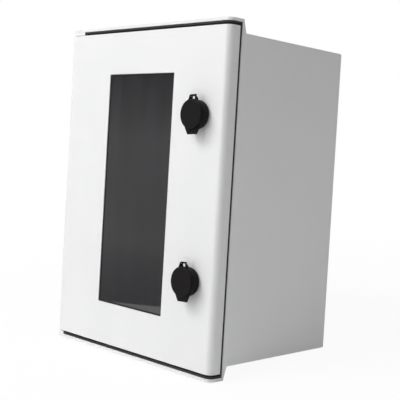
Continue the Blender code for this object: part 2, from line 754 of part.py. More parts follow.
def make_window_screws(door_axis):
    head_y = WINDOW_FRAME_Y + WINDOW_FRAME_THICKNESS + FIT_GAP
    reach = WINDOW_FRAME_THICKNESS + 2 * FIT_GAP + WINDOW_SCREW_REACH
    for i, place in enumerate(window_boss_places(), 1):
        screw = make_screw(
            f"window_screw_{i}", place, head_y, 1, WINDOW_SCREW_RADIUS,
            WINDOW_SCREW_HEAD_RADIUS, WINDOW_SCREW_HEAD, reach, MATERIALS["steel"])
        attach(screw, door_axis)


def make_mounting_plate():
    half_x = BOSS_X + PLATE_EDGE_MARGIN
    half_z = BOSS_Z + PLATE_EDGE_MARGIN
    plate = prism(
        "mounting_plate", [rounded_rectangle(half_x, half_z, PLATE_CORNER_RADIUS)], "Y",
        PLATE_Y, PLATE_Y + PLATE_THICKNESS)
    for i, (x, z) in enumerate(boss_places(), 1):
        hole = cylinder(
            f"plate_hole_{i}", PLATE_SCREW_RADIUS + FIT_GAP, "Y", (x, 0, z),
            PLATE_Y - CUT_THROUGH, PLATE_Y + PLATE_THICKNESS + CUT_THROUGH, SMALL_FACETS)
        cut(plate, hole)
    return finish(plate, MATERIALS["zinc_plate"])


def make_plate_fasteners():
    for i, (x, z) in enumerate(boss_places(), 1):
        insert = cylinder(
            f"plate_insert_{i}", INSERT_RADIUS, "Y", (x, 0, z),
            BOSS_TOP_Y, BOSS_TOP_Y + INSERT_LENGTH, SMALL_FACETS)
        bore = cylinder(
            f"insert_bore_{i}", PLATE_SCREW_RADIUS + PIN_GAP, "Y", (x, 0, z),
            BOSS_TOP_Y - CUT_THROUGH, BOSS_TOP_Y + INSERT_LENGTH + CUT_THROUGH, SMALL_FACETS)
        cut(insert, bore)
        finish(insert, MATERIALS["brass"])
        washer_y = PLATE_Y - FIT_GAP - WASHER_THICKNESS
        washer = cylinder(
            f"plate_washer_{i}", WASHER_RADIUS, "Y", (x, 0, z),
            washer_y, washer_y + WASHER_THICKNESS, SMALL_FACETS)
        bore = cylinder(
            f"washer_bore_{i}", PLATE_SCREW_RADIUS + FIT_GAP, "Y", (x, 0, z),
            washer_y - CUT_THROUGH, washer_y + WASHER_THICKNESS + CUT_THROUGH, SMALL_FACETS)
        cut(washer, bore)
        finish(washer, MATERIALS["steel"])
        head_y = washer_y - FIT_GAP
        reach = BOSS_TOP_Y - head_y + PLATE_SCREW_REACH
        make_screw(
            f"plate_screw_{i}", (x, z), head_y, -1, PLATE_SCREW_RADIUS,
            PLATE_SCREW_HEAD_RADIUS, PLATE_SCREW_HEAD, reach, MATERIALS["steel"])


def make_wall_plugs():
    for i, (x, z) in enumerate(wall_hole_places(), 1):
        plug = cylinder(
            f"wall_hole_plug_{i}", WALL_HOLE_RADIUS - PIN_GAP, "Y", (x, 0, z),
            CAVITY_BACK_Y - PLUG_HEAD / 2, -FIT_GAP, SMALL_FACETS)
        head = cylinder(
            f"plug_head_{i}", PLUG_HEAD_RADIUS, "Y", (x, 0, z),
            CAVITY_BACK_Y - FIT_GAP - PLUG_HEAD, CAVITY_BACK_Y - FIT_GAP, SMALL_FACETS)
        fuse(plug, head)
        finish(plug, MATERIALS["black_plastic"])


def make_keepers():
    centre_x = inner_wall_x() - KEEPER_OVERHANG / 2 - KEEPER_WIDTH / 2
    half_z = BRACKET_SPACING / 2 + BRACKET_HEIGHT / 2
    for lock_name, z in lock_places().items():
        outline = rectangle(KEEPER_WIDTH / 2, half_z, (centre_x, z))
        keeper = prism(
            f"{lock_name}_lock_keeper", [outline], "Y", KEEPER_Y, KEEPER_Y + KEEPER_THICKNESS)
        for i, side in enumerate((-1, 1), 1):
            place = (keeper_screw_x(), z + side * BRACKET_SPACING / 2)
            hole = cylinder(
                f"{lock_name}_keeper_hole_{i}", KEEPER_SCREW_RADIUS + PIN_GAP, "Y",
                (place[0], 0, place[1]), KEEPER_Y - CUT_THROUGH,
                KEEPER_Y + KEEPER_THICKNESS + CUT_THROUGH, SMALL_FACETS)
            cut(keeper, hole)
            make_screw(
                f"{lock_name}_keeper_screw_{i}", place, KEEPER_Y - FIT_GAP, -1,
                KEEPER_SCREW_RADIUS, KEEPER_SCREW_HEAD_RADIUS, KEEPER_SCREW_HEAD,
                KEEPER_THICKNESS + FIT_GAP + KEEPER_SCREW_REACH, MATERIALS["steel"])
        finish(keeper, MATERIALS["zinc_plate"])


# Levels become local Y in the frame of a lock, where +Y runs into the door
def lock_slab(name, outlines, low, high):
    return prism(name, outlines, "Y", -high, -low)


def lock_rod(name, radius, low, high, facets):
    return cylinder(name, radius, "Y", (0, 0, 0), -high, -low, facets)


# Angle at which a line from a corner below touches a circle
def tangent_angle(radius, corner):
    spread = math.acos(radius / math.hypot(*corner))
    return math.degrees(math.atan2(corner[1], corner[0]) + spread)


# Angle of the point on a circle that lies a given distance beside its centre line
def side_angle(radius, half_width):
    return math.degrees(math.acos(half_width / radius))


# Round cover with two hinge prongs on top and a tab whose sides run tangent to the circle
def cover_outline():
    corner = (TAB_HALF_WIDTH, -TAB_REACH)
    tangent = tangent_angle(COVER_RADIUS, corner)
    root = side_angle(COVER_RADIUS, EAR_ROOT_HALF_WIDTH)
    inside = side_angle(COVER_RADIUS, COVER_KNUCKLE_START)
    shoulder = KNUCKLE_HEIGHT - KNUCKLE_RADIUS
    steps = LARGE_FACETS // 4
    right = arc((0, 0), COVER_RADIUS, tangent, root, steps)
    right += [
        (EAR_TOP_HALF_WIDTH, shoulder),
        (EAR_TOP_HALF_WIDTH, KNUCKLE_HEIGHT),
        (COVER_KNUCKLE_START, KNUCKLE_HEIGHT),
    ]
    middle = arc((0, 0), COVER_RADIUS, inside, 180 - inside, 4)
    left = [(-x, z) for x, z in reversed(right)]
    return right + middle + left + [(-TAB_HALF_WIDTH, -TAB_REACH), corner]


# Ear of the base: a plate with an eye, narrower beside its knuckle
def base_ear_outlines():
    eye_top = KNUCKLE_HEIGHT - KNUCKLE_RADIUS
    shoulder = eye_top - FIT_GAP
    root = WELL_RADIUS + (DRUM_RADIUS - WELL_RADIUS) / 2
    right = [
        (EAR_ROOT_HALF_WIDTH, root),
        (EAR_TOP_HALF_WIDTH, shoulder),
        (BASE_KNUCKLE_HALF, shoulder),
        (BASE_KNUCKLE_HALF, KNUCKLE_HEIGHT),
    ]
    left = [(-x, z) for x, z in reversed(right)]
    eye = rectangle(
        EYE_HALF_WIDTH, (eye_top - DRUM_RADIUS) / 2, (0, (eye_top + DRUM_RADIUS) / 2))
    return [right + left, eye]


def make_lock_base(lock):
    profile = [
        (CORE_RADIUS + PIN_GAP, WELL_LEVEL),
        (WELL_RADIUS, WELL_LEVEL),
        (WELL_RADIUS, DRUM_TOP),
        (DRUM_RADIUS, DRUM_TOP),
        (DRUM_RADIUS, DRUM_LEVEL),
        (SHANK_RADIUS, DRUM_LEVEL),
        (SHANK_RADIUS, SHANK_END),
        (CORE_RADIUS + PIN_GAP, SHANK_END),
    ]
    base = turned(f"{lock.name}_lock_base", profile, LARGE_FACETS, True)
    ear = lock_slab(
        f"{lock.name}_base_ear", base_ear_outlines(), DRUM_TOP - EAR_THICKNESS,
        DRUM_TOP - EAR_SETBACK)
    knuckle = cylinder(
        f"{lock.name}_base_knuckle", KNUCKLE_RADIUS, "X", (0, -KNUCKLE_LEVEL, KNUCKLE_HEIGHT),
        -BASE_KNUCKLE_HALF, BASE_KNUCKLE_HALF, SMALL_FACETS)
    pin_hole = cylinder(
        f"{lock.name}_base_pin_hole", KNUCKLE_PIN_RADIUS + PIN_GAP, "X",
        (0, -KNUCKLE_LEVEL, KNUCKLE_HEIGHT), -2 * BASE_KNUCKLE_HALF, 2 * BASE_KNUCKLE_HALF,
        SMALL_FACETS)
    fuse(base, ear)
    fuse(base, knuckle)
    cut(base, pin_hole)
    seat(base, lock)
    return finish(base, MATERIALS["black_plastic"])


def make_lock_cover(lock, cover_axis):
    cover = lock_slab(
        f"{lock.name}_lock_cover", [cover_outline()], COVER_LEVEL, COVER_LEVEL + COVER_FLANGE)
    cap = lock_rod(
        f"{lock.name}_cap", CAP_RADIUS, COVER_LEVEL + COVER_FLANGE / 2, COVER_TOP, LARGE_FACETS)
    bevel(cap, COVER_EDGE_RADIUS)
    fuse(cover, cap)
    hollow = lock_rod(
        f"{lock.name}_cap_hollow", WELL_RADIUS, COVER_LEVEL - CUT_THROUGH, COVER_TOP - COVER_SKIN,
        LARGE_FACETS)
    cut(cover, hollow)
    for sign, side in ((-1, "left"), (1, "right")):
        ends = sorted((sign * COVER_KNUCKLE_START, sign * EAR_TOP_HALF_WIDTH))
        knuckle = cylinder(
            f"{lock.name}_cover_knuckle_{side}", KNUCKLE_RADIUS, "X",
            (0, -KNUCKLE_LEVEL, KNUCKLE_HEIGHT), *ends, SMALL_FACETS)
        fuse(cover, knuckle)
    pin_hole = cylinder(
        f"{lock.name}_cover_pin_hole", KNUCKLE_PIN_RADIUS + PIN_GAP, "X",
        (0, -KNUCKLE_LEVEL, KNUCKLE_HEIGHT), -2 * EAR_TOP_HALF_WIDTH, 2 * EAR_TOP_HALF_WIDTH,
        SMALL_FACETS)
    cut(cover, pin_hole)
    seat(cover, lock)
    finish(cover, MATERIALS["black_plastic"])
    attach_local(cover, cover_axis)
    pin = cylinder(
        f"{lock.name}_cover_pin", KNUCKLE_PIN_RADIUS, "X",
        (0, -KNUCKLE_LEVEL, KNUCKLE_HEIGHT), -EAR_TOP_HALF_WIDTH, EAR_TOP_HALF_WIDTH,
        SMALL_FACETS)
    seat(pin, lock)
    finish(pin, MATERIALS["steel"])


# Gives a seated piece its joint's empty as its parent, and leaves it where it is
def attach_local(obj, parent):
    bpy.context.view_layer.update()
    place = obj.matrix_world.copy()
    obj.parent = parent
    obj.matrix_parent_inverse = Matrix.Identity(4)
    obj.matrix_local = parent.matrix_world.inverted() @ place


def make_lock_core(lock):
    profile = [
        (0, WELL_LEVEL + FIT_GAP + CORE_HEAD_HEIGHT),
        (WELL_RADIUS - FIT_GAP, WELL_LEVEL + FIT_GAP + CORE_HEAD_HEIGHT),
        (WELL_RADIUS - FIT_GAP, WELL_LEVEL + FIT_GAP),
        (CORE_RADIUS, WELL_LEVEL + FIT_GAP),
        (CORE_RADIUS, SHANK_END),
        (0, SHANK_END),
    ]
    core = turned(f"{lock.name}_lock_core", profile, LARGE_FACETS, False)
    square = lock_slab(
        f"{lock.name}_core_square", [rectangle(CAM_SQUARE / 2, CAM_SQUARE / 2)],
        CORE_END, SHANK_END + FIT_GAP)
    fuse(core, square)
    head_top = WELL_LEVEL + FIT_GAP + CORE_HEAD_HEIGHT
    key_hole = lock_slab(
        f"{lock.name}_key_hole", [arc((0, 0), KEY_RADIUS, 90, 330, 2)],
        head_top - KEY_DEPTH, head_top + CUT_THROUGH)
    cut(core, key_hole)
    thread = lock_rod(
        f"{lock.name}_core_thread", CAM_SCREW_RADIUS + PIN_GAP, CORE_END - CUT_THROUGH,
        CORE_END + CAM_SCREW_REACH, SMALL_FACETS)
    cut(core, thread)
    seat(core, lock)
    return finish(core, MATERIALS["zinc_cast"])


def make_lock_cam(lock):
    half = CAM_WIDTH / 2
    foot = math.degrees(math.asin(half / CAM_HUB_RADIUS))
    hub = arc((0, 0), CAM_HUB_RADIUS, 90 + foot, 450 - foot, MEDIUM_FACETS)
    outline = hub + [(half, CAM_REACH), (-half, CAM_REACH)]
    hole = rectangle(CAM_SQUARE / 2 + PIN_GAP, CAM_SQUARE / 2 + PIN_GAP)
    cam = lock_slab(f"{lock.name}_lock_cam", [outline, hole], CAM_LEVEL - CAM_THICKNESS, CAM_LEVEL)
    seat(cam, lock)
    return finish(cam, MATERIALS["zinc_plate"])


def make_cam_screw(lock):
    head_top = CAM_LEVEL - CAM_THICKNESS - FIT_GAP
    screw = make_screw(
        f"{lock.name}_cam_screw", (0, 0), -head_top, 1, CAM_SCREW_RADIUS,
        CAM_SCREW_HEAD_RADIUS, CAM_SCREW_HEAD, CAM_SCREW_REACH - FIT_GAP, MATERIALS["steel"])
    seat(screw, lock)


def make_lock_nut(lock):
    corner = NUT_ACROSS_FLATS / 2 / math.cos(math.radians(30))
    outline = arc((0, 0), corner, 30, 330, 5)
    nut = lock_slab(f"{lock.name}_lock_nut", [outline], NUT_LEVEL - NUT_THICKNESS, NUT_LEVEL)
    bore = lock_rod(
        f"{lock.name}_nut_bore", SHANK_RADIUS + PIN_GAP, NUT_LEVEL - NUT_THICKNESS - CUT_THROUGH,
        NUT_LEVEL + CUT_THROUGH, MEDIUM_FACETS)
    cut(nut, bore)
    seat(nut, lock)
    return finish(nut, MATERIALS["black_plastic"])


def make_lock_seal(lock):
    profile = [
        (SHANK_RADIUS + PIN_GAP, SEAL_LEVEL + LOCK_SEAL_THICKNESS),
        (LOCK_SEAL_RADIUS, SEAL_LEVEL + LOCK_SEAL_THICKNESS),
        (LOCK_SEAL_RADIUS, SEAL_LEVEL),
        (SHANK_RADIUS + PIN_GAP, SEAL_LEVEL),
    ]
    seal = turned(f"{lock.name}_lock_seal", profile, MEDIUM_FACETS, True)
    seat(seal, lock)
    return finish(seal, MATERIALS["black_rubber"])


def make_lock(name, z, door_axis):
    place = Matrix.Translation((LOCK_X, FRONT_Y, z)) @ Matrix.Rotation(-LOCK_TURN, 4, "Y")
    lock = make_empty(name, door_axis.matrix_world.inverted() @ place, door_axis)
    hinge_place = Matrix.Translation((0, -KNUCKLE_LEVEL, KNUCKLE_HEIGHT))
    cover_axis = make_empty(name + "_cover_axis", hinge_place, lock)
    make_lock_seal(lock)
    make_lock_base(lock)
    make_lock_nut(lock)
    make_lock_core(lock)
    make_lock_cam(lock)
    make_cam_screw(lock)
    make_lock_cover(lock, cover_axis)


clear_scene()
PARTS = make_collection("electrical_enclosure")
TOOLS = make_collection("cutters")
TOOLS.hide_render = True
MATERIALS = {
    "moulded_body": make_material("moulded_body", (0.78, 0.78, 0.79), 0.45),
    "moulded_door": make_material("moulded_door", (0.80, 0.80, 0.81), 0.4),
    "black_rubber": make_material("black_rubber", (0.015, 0.015, 0.015), 0.7),
    "black_plastic": make_material("black_plastic", (0.02, 0.018, 0.019), 0.45),
    "smoked_pane": make_material("smoked_pane", (0.05, 0.05, 0.055), 0.08, 0.0, 0.75),
    "steel": make_material("steel", (0.6, 0.6, 0.6), 0.35, 1.0),
    "zinc_plate": make_material("zinc_plate", (0.65, 0.66, 0.67), 0.4, 1.0),
    "zinc_cast": make_material("zinc_cast", (0.5, 0.5, 0.5), 0.5, 1.0),
    "brass": make_material("brass", (0.72, 0.52, 0.22), 0.35, 1.0),
}

door_axis_place = Matrix.Translation((HINGE_X, HINGE_Y, 0))
DOOR_AXIS = make_empty("door_axis", door_axis_place)
make_body()
make_door_gasket()
for door_piece in (make_door(), make_window_pane(), make_window_seal(), make_window_frame()):
    attach(door_piece, DOOR_AXIS)
make_window_screws(DOOR_AXIS)
make_hinge(1, "top", DOOR_AXIS)
make_hinge(-1, "bottom", DOOR_AXIS)
make_mounting_plate()
make_plate_fasteners()
make_wall_plugs()
make_keepers()
for lock_name, lock_z in lock_places().items():
    make_lock(lock_name, lock_z, DOOR_AXIS)
bpy.context.view_layer.update()
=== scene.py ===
# Looks of the wall-mounting electrical enclosure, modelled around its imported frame

import json
import math
import bmesh
import bpy
from mathutils import Matrix, Vector

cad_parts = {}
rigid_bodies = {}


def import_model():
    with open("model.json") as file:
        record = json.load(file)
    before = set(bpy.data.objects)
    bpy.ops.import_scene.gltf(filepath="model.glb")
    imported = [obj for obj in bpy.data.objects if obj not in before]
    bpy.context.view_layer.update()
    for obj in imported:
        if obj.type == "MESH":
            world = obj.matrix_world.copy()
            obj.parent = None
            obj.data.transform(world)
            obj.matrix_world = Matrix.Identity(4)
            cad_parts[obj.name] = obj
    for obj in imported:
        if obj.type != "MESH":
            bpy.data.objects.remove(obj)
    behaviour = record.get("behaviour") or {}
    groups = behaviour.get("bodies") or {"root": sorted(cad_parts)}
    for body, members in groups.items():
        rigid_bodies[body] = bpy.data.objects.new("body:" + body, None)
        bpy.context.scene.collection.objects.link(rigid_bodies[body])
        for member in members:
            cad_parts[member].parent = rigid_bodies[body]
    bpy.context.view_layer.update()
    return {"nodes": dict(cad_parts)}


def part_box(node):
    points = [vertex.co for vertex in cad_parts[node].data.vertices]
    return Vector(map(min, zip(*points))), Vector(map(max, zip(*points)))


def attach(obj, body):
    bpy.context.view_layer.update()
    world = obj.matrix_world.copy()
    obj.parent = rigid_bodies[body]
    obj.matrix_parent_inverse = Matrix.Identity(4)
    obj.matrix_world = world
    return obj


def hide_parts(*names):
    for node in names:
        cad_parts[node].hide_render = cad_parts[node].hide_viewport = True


for leftover in list(bpy.data.objects):
    bpy.data.objects.remove(leftover)
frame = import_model()
bpy.ops.object.select_all(action="DESELECT")
print("frame loaded:", len(frame["nodes"]), "nodes")

fitGap = 0.0003  # running gap between neighbouring pieces
pinGap = 0.00025  # gap around pins, bores and threads
past = 0.001  # how far a cutter stands out of what it cuts
weldReach = 0.000001  # points of a mesh that lie nearer than this are one
flatAngle = 0.2  # degrees between faces that count as one plane
straight = 0.9  # how much of a normal lies along the axis that its face looks along
parallel = 0.99  # how much of an edge lies along the axis that it runs along
alongX, alongY, alongZ = 0, 1, 2


# Choosing and editing, as by hand

def pick(piece):
    bpy.ops.object.select_all(action="DESELECT")
    piece.select_set(True)
    bpy.context.view_layer.objects.active = piece


def settle(name):  # puts a new primitive's place and size into its mesh
    piece = bpy.context.object
    piece.name = name
    bpy.ops.object.transform_apply(location=True, rotation=True, scale=True)
    return piece


def placeAt(piece, place):  # puts a place and a turn into a piece's mesh
    piece.matrix_world = place
    pick(piece)
    bpy.ops.object.transform_apply(location=True, rotation=True, scale=True)
    return piece


def block(name, low, high):
    middle = (Vector(low) + Vector(high)) / 2
    bpy.ops.mesh.primitive_cube_add(size=1, location=middle)
    bpy.context.object.scale = Vector(high) - Vector(low)
    return settle(name)


def bar(name, radius, start, end, sides=32, endRadius=None):  # a round bar between two points
    run = Vector(end) - Vector(start)
    turn = Vector((0, 0, 1)).rotation_difference(run).to_euler()
    bpy.ops.mesh.primitive_cone_add(
        vertices=sides, radius1=radius, radius2=radius if endRadius is None else endRadius,
        depth=run.length, location=(Vector(start) + Vector(end)) / 2, rotation=turn)
    return settle(name)


def openEdit(piece, kind, chosen):  # edit mode, with only the chosen elements selected
    pick(piece)
    bpy.ops.object.mode_set(mode="EDIT")
    bpy.ops.mesh.select_mode(type=kind)
    bpy.ops.mesh.select_all(action="DESELECT")
    cage = bmesh.from_edit_mesh(piece.data)
    elements = {"VERT": cage.verts, "EDGE": cage.edges, "FACE": cage.faces}[kind]
    for element in elements:
        if chosen(element):
            element.select_set(True)
    cage.select_flush_mode()
    bmesh.update_edit_mesh(piece.data)


def closeEdit():
    bpy.ops.object.mode_set(mode="OBJECT")


def runsAlong(edge, axis):
    step = edge.verts[1].co - edge.verts[0].co
    return abs(step[axis]) > parallel * step.length


def looksFront(face):
    return face.normal.y < -straight


def looksBack(face):
    return face.normal.y > straight


def middleOf(edge):
    return (edge.verts[0].co + edge.verts[1].co) / 2


def bevelEdges(piece, chosen, width, segments):
    openEdit(piece, "EDGE", chosen)
    bpy.ops.mesh.bevel(offset=width, segments=segments, affect="EDGES")
    closeEdit()


def modify(piece, kind, **settings):
    pick(piece)
    modifier = piece.modifiers.new(kind, kind)
    for setting, value in settings.items():
        setattr(modifier, setting, value)
    bpy.ops.object.modifier_apply(modifier=modifier.name)


def carve(piece, *cutters):
    for cutter in cutters:
        modify(piece, "BOOLEAN", operation="DIFFERENCE", solver="EXACT", object=cutter)
        bpy.data.objects.remove(cutter)


def drill(piece, radius, place, start, end, sides):  # a hole along Y, through a place
    carve(piece, bar("drill", radius, (place.x, start, place.z), (place.x, end, place.z), sides))


def unite(piece, *others):
    for other in others:
        modify(piece, "BOOLEAN", operation="UNION", solver="EXACT", object=other)
        bpy.data.objects.remove(other)


def tidyMesh(piece):  # merges what booleans leave doubled or split on one plane
    openEdit(piece, "VERT", lambda vertex: True)
    bpy.ops.mesh.remove_doubles(threshold=2 * weldReach)
    bpy.ops.mesh.dissolve_limited(angle_limit=math.radians(flatAngle))
    closeEdit()


def soften(piece, width, segments=3, angle=35):  # a fine radius on every sharp edge
    tidyMesh(piece)
    modify(
        piece, "BEVEL", width=width, segments=segments, limit_method="ANGLE",
        angle_limit=math.radians(angle))


def arcPoints(centre, radius, start, end, steps):
    points = []
    for i in range(steps + 1):
        angle = math.radians(start + (end - start) * i / steps)
        points.append((centre[0] + radius * math.cos(angle), centre[1] + radius * math.sin(angle)))
    return points


def startPoint(name, place):  # a plane merged to the one vertex that an outline starts from
    bpy.ops.mesh.primitive_plane_add(size=0.01, location=(0, 0, 0))
    piece = bpy.context.object
    piece.name = name
    bpy.ops.object.mode_set(mode="EDIT")
    bpy.ops.mesh.select_mode(type="VERT")
    bpy.ops.mesh.select_all(action="SELECT")
    bpy.ops.mesh.merge(type="CENTER")
    bpy.ops.transform.translate(value=place)
    return piece


def trail(places):  # extrudes the selected vertex from place to place
    for here, there in zip(places, places[1:]):
        bpy.ops.mesh.extrude_region_move(TRANSFORM_OT_translate={"value": there - here})


def joinEnds():
    bpy.ops.mesh.select_all(action="DESELECT")
    mesh = bmesh.from_edit_mesh(bpy.context.object.data)
    for vertex in mesh.verts:
        vertex.select_set(len(vertex.link_edges) == 1)
    bpy.ops.mesh.edge_face_add()


def lathe(name, profile, axis=(0, -1, 0), steps=48, closed=False):
    # the profile's points are (radius, level along the axis), and the axis runs through the origin
    places = [Vector((radius, 0, 0)) + Vector(axis) * level for radius, level in profile]
    piece = startPoint(name, places[0])
    trail(places)
    if closed:
        joinEnds()
    bpy.ops.mesh.select_all(action="SELECT")
    bpy.ops.mesh.spin(steps=steps, angle=2 * math.pi, center=(0, 0, 0), axis=axis)
    bpy.ops.mesh.select_all(action="SELECT")
    bpy.ops.mesh.remove_doubles(threshold=weldReach)
    bpy.ops.mesh.normals_make_consistent(inside=False)
    closeEdit()
    return piece


def slab(name, outline, across, start, end):
    # a flat outline in the two other axes, extruded along one of them
    def lift(point):
        place = list(point)
        place.insert(across, start)
        return Vector(place)
    places = [lift(point) for point in outline]
    piece = startPoint(name, places[0])
    trail(places)
    joinEnds()
    bpy.ops.mesh.select_all(action="SELECT")
    bpy.ops.mesh.edge_face_add()
    thickness = Vector((0, 0, 0))
    thickness[across] = end - start
    bpy.ops.mesh.extrude_region_move(TRANSFORM_OT_translate={"value": thickness})
    bpy.ops.mesh.select_all(action="SELECT")
    bpy.ops.mesh.normals_make_consistent(inside=False)
    closeEdit()
    return piece


def roundedOutline(halfWide, halfHigh, radius, steps=6):
    points = []
    for sideX, sideZ, start in ((1, 1, 0), (-1, 1, 90), (-1, -1, 180), (1, -1, 270)):
        centre = (sideX * (halfWide - radius), sideZ * (halfHigh - radius))
        points += arcPoints(centre, radius, start, start + 90, steps)
    return points


def centreOf(node):
    low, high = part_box(node)
    return (low + high) / 2


def smooth(piece, angle=32):
    pick(piece)
    bpy.ops.object.shade_smooth_by_angle(angle=math.radians(angle))
    modify(piece, "WEIGHTED_NORMAL", keep_sharp=True)


def dress(piece, finish):
    smooth(piece)
    piece.data.materials.clear()
    piece.data.materials.append(finish)
    return piece


def fit(piece, body, slotName, *nodes):
    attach(piece, body)
    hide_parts(*nodes)


def copyTo(model, name, place):  # a copy with its own mesh, and its place in that mesh
    copy = model.copy()
    copy.data = model.data.copy()
    copy.name = name
    bpy.context.scene.collection.objects.link(copy)
    return placeAt(copy, place)


def facingBack(place):  # turns a model that looks along -Y to look along +Y
    return Matrix.Translation(place) @ Matrix.Rotation(math.pi, 4, "Z")


# Shader sums

class Signal:  # a node's output that can be used in sums
    def __init__(self, board, socket):
        self.board = board
        self.socket = socket

    def sum(self, operation, first, second):
        return self.board.node("ShaderNodeMath", {"operation": operation}, {0: first, 1: second})

    def __add__(self, other):
        return self.sum("ADD", self, other)

    def __radd__(self, other):
        return self.sum("ADD", other, self)

    def __sub__(self, other):
        return self.sum("SUBTRACT", self, other)

    def __rsub__(self, other):
        return self.sum("SUBTRACT", other, self)

    def __mul__(self, other):
        return self.sum("MULTIPLY", self, other)

    def __rmul__(self, other):
        return self.sum("MULTIPLY", other, self)


class Board:  # the node tree of one finish
    def __init__(self, owner):
        owner.use_nodes = True
        self.tree = owner.node_tree
        self.place = None

    def plug(self, socket, value):
        if isinstance(value, Signal):
            self.tree.links.new(value.socket, socket)
        else:
            socket.default_value = value

    def node(self, kind, settings, values, output=0):
        made = self.tree.nodes.new(kind)
        for setting, value in settings.items():
            setattr(made, setting, value)
        for key, value in values.items():
            self.plug(made.inputs[key], value)
        return Signal(self, made.outputs[output])

    def spot(self, stretch=(1, 1, 1)):  # the object's own coordinates, stretched
        if self.place is None:
            self.place = self.node("ShaderNodeTexCoord", {}, {}, "Object")
        return self.node("ShaderNodeMapping", {}, {"Vector": self.place, "Scale": stretch})

    def noise(self, scale, detail=2.0, roughness=0.5, stretch=(1, 1, 1)):
        return self.node("ShaderNodeTexNoise", {}, {
            "Vector": self.spot(stretch), "Scale": scale, "Detail": detail, "Roughness": roughness})

    def span(self, signal, low, high, start=0.0, end=1.0):  # maps start..end to low..high
        return self.node("ShaderNodeMapRange", {"clamp": True}, {
            "Value": signal, "From Min": start, "From Max": end, "To Min": low, "To Max": high})

    def blend(self, amount, first, second):
        return self.node(
            "ShaderNodeMix", {"data_type": "RGBA", "blend_type": "MIX"},
            {0: amount, 6: first, 7: second}, 2)

    def bump(self, height, distance, strength=1.0, under=None):
        values = {"Height": height, "Distance": distance, "Strength": strength}
        if under is not None:
            values["Normal"] = under
        return self.node("ShaderNodeBump", {}, values)


def grey(level, tint=(1, 1, 1)):
    return (level * tint[0], level * tint[1], level * tint[2], 1.0)


def newFinish(name):
    material = bpy.data.materials.new(name)
    board = Board(material)
    return material, board, board.tree.nodes["Principled BSDF"]


def feed(board, shader, **inputs):
    for socket, value in inputs.items():
        board.plug(shader.inputs[socket.replace("_", " ")], value)


# Finishes: patterns by scale, spans from start..end of a pattern to low..high of a value

mouldedGrey = {
    "light": grey(0.815), "dark": grey(0.785, (0.997, 1.0, 1.003)), "index": 1.5,
    "grain": {"scale": 2400, "detail": 2.0, "roughness": 0.6}, "grainShare": 0.6,
    "peel": {"scale": 160, "detail": 1.0},
    "flow": {"scale": 7, "detail": 3.0, "roughness": 0.55, "stretch": (1, 1, 0.45)},
    "tone": {"low": 0, "high": 1, "start": 0.3, "end": 0.7},
    "rough": {"low": 0.26, "high": 0.38, "start": 0.25, "end": 0.75},
    "grainBump": {"distance": 0.00002, "strength": 0.5},
    "peelBump": {"distance": 0.00006, "strength": 0.35},
}


def makeMouldedGrey(name):  # light grey moulded plastic with a fine spark-eroded grain
    material, board, shader = newFinish(name)
    look = mouldedGrey
    grain = board.noise(**look["grain"])
    peel = board.noise(**look["peel"])
    flow = board.noise(**look["flow"])
    share = look["grainShare"]
    fine = board.bump(grain, **look["grainBump"])
    feed(board, shader,
         Base_Color=board.blend(board.span(flow, **look["tone"]), look["dark"], look["light"]),
         Roughness=board.span(share * grain + (1 - share) * flow, **look["rough"]),
         Normal=board.bump(peel, under=fine, **look["peelBump"]), IOR=look["index"])
    return material


blackMoulding = {
    "light": grey(0.0085, (1.0, 0.84, 1.0)), "dark": grey(0.0055, (1.0, 0.86, 1.0)), "index": 1.22,
    "grain": {"scale": 1900, "detail": 3.0, "roughness": 0.6},
    "drift": {"scale": 90, "detail": 2.0},
    "rough": {"low": 0.48, "high": 0.62, "start": 0.3, "end": 0.7},
    "bump": {"distance": 0.00004, "strength": 0.6},
}


def makeBlackPlastic(name):  # black glass-filled nylon, lightly textured
    material, board, shader = newFinish(name)
    look = blackMoulding
    grain = board.noise(**look["grain"])
    feed(board, shader,
         Base_Color=board.blend(board.noise(**look["drift"]), look["dark"], look["light"]),
         Roughness=board.span(grain, **look["rough"]), Normal=board.bump(grain, **look["bump"]),
         IOR=look["index"])
    return material


rubber = {
    "light": grey(0.021), "dark": grey(0.014, (1, 0.97, 1)), "index": 1.5,
    "grain": {"scale": 1400, "detail": 3.0, "roughness": 0.65},
    "bloom": {"scale": 55, "detail": 4.0, "roughness": 0.6},
    "tone": {"low": 0, "high": 1, "start": 0.35, "end": 0.7},
    "rough": {"low": 0.6, "high": 0.78, "start": 0.3, "end": 0.7},
    "bump": {"distance": 0.00006, "strength": 0.7},
}


def makeRubber(name):  # matt black sealing rubber with a bloom of talc
    material, board, shader = newFinish(name)
    look = rubber
    grain = board.noise(**look["grain"])
    bloom = board.noise(**look["bloom"])
    feed(board, shader,
         Base_Color=board.blend(board.span(bloom, **look["tone"]), look["dark"], look["light"]),
         Roughness=board.span(bloom, **look["rough"]), Normal=board.bump(grain, **look["bump"]),
         IOR=look["index"])
    return material


paneTint = {
    # deep and pale tints: the upright streaks blend towards pale as a painted reflection, the cloud
    # as a random tone
    "deep": grey(0.006, (1.0, 0.88, 1.04)), "pale": grey(0.018, (1.0, 0.88, 1.04)),
    "alpha": 0.9, "index": 1.58, "coat": 0.7, "coatRough": 0.02,
    "reflectionStreaks": {"scale": 120, "detail": 2.0, "roughness": 0.6, "stretch": (1, 1, 0.035)},
    "reflectionStreakShare": 0.65, "cloud": {"scale": 14, "detail": 2.0},
    "tone": {"low": 0, "high": 1, "start": 0.34, "end": 0.62},
    "rough": {"low": 0.018, "high": 0.045, "start": 0.3, "end": 0.7},
    "ripple": {"scale": 26, "detail": 1.0}, "bump": {"distance": 0.00002, "strength": 0.12},
}


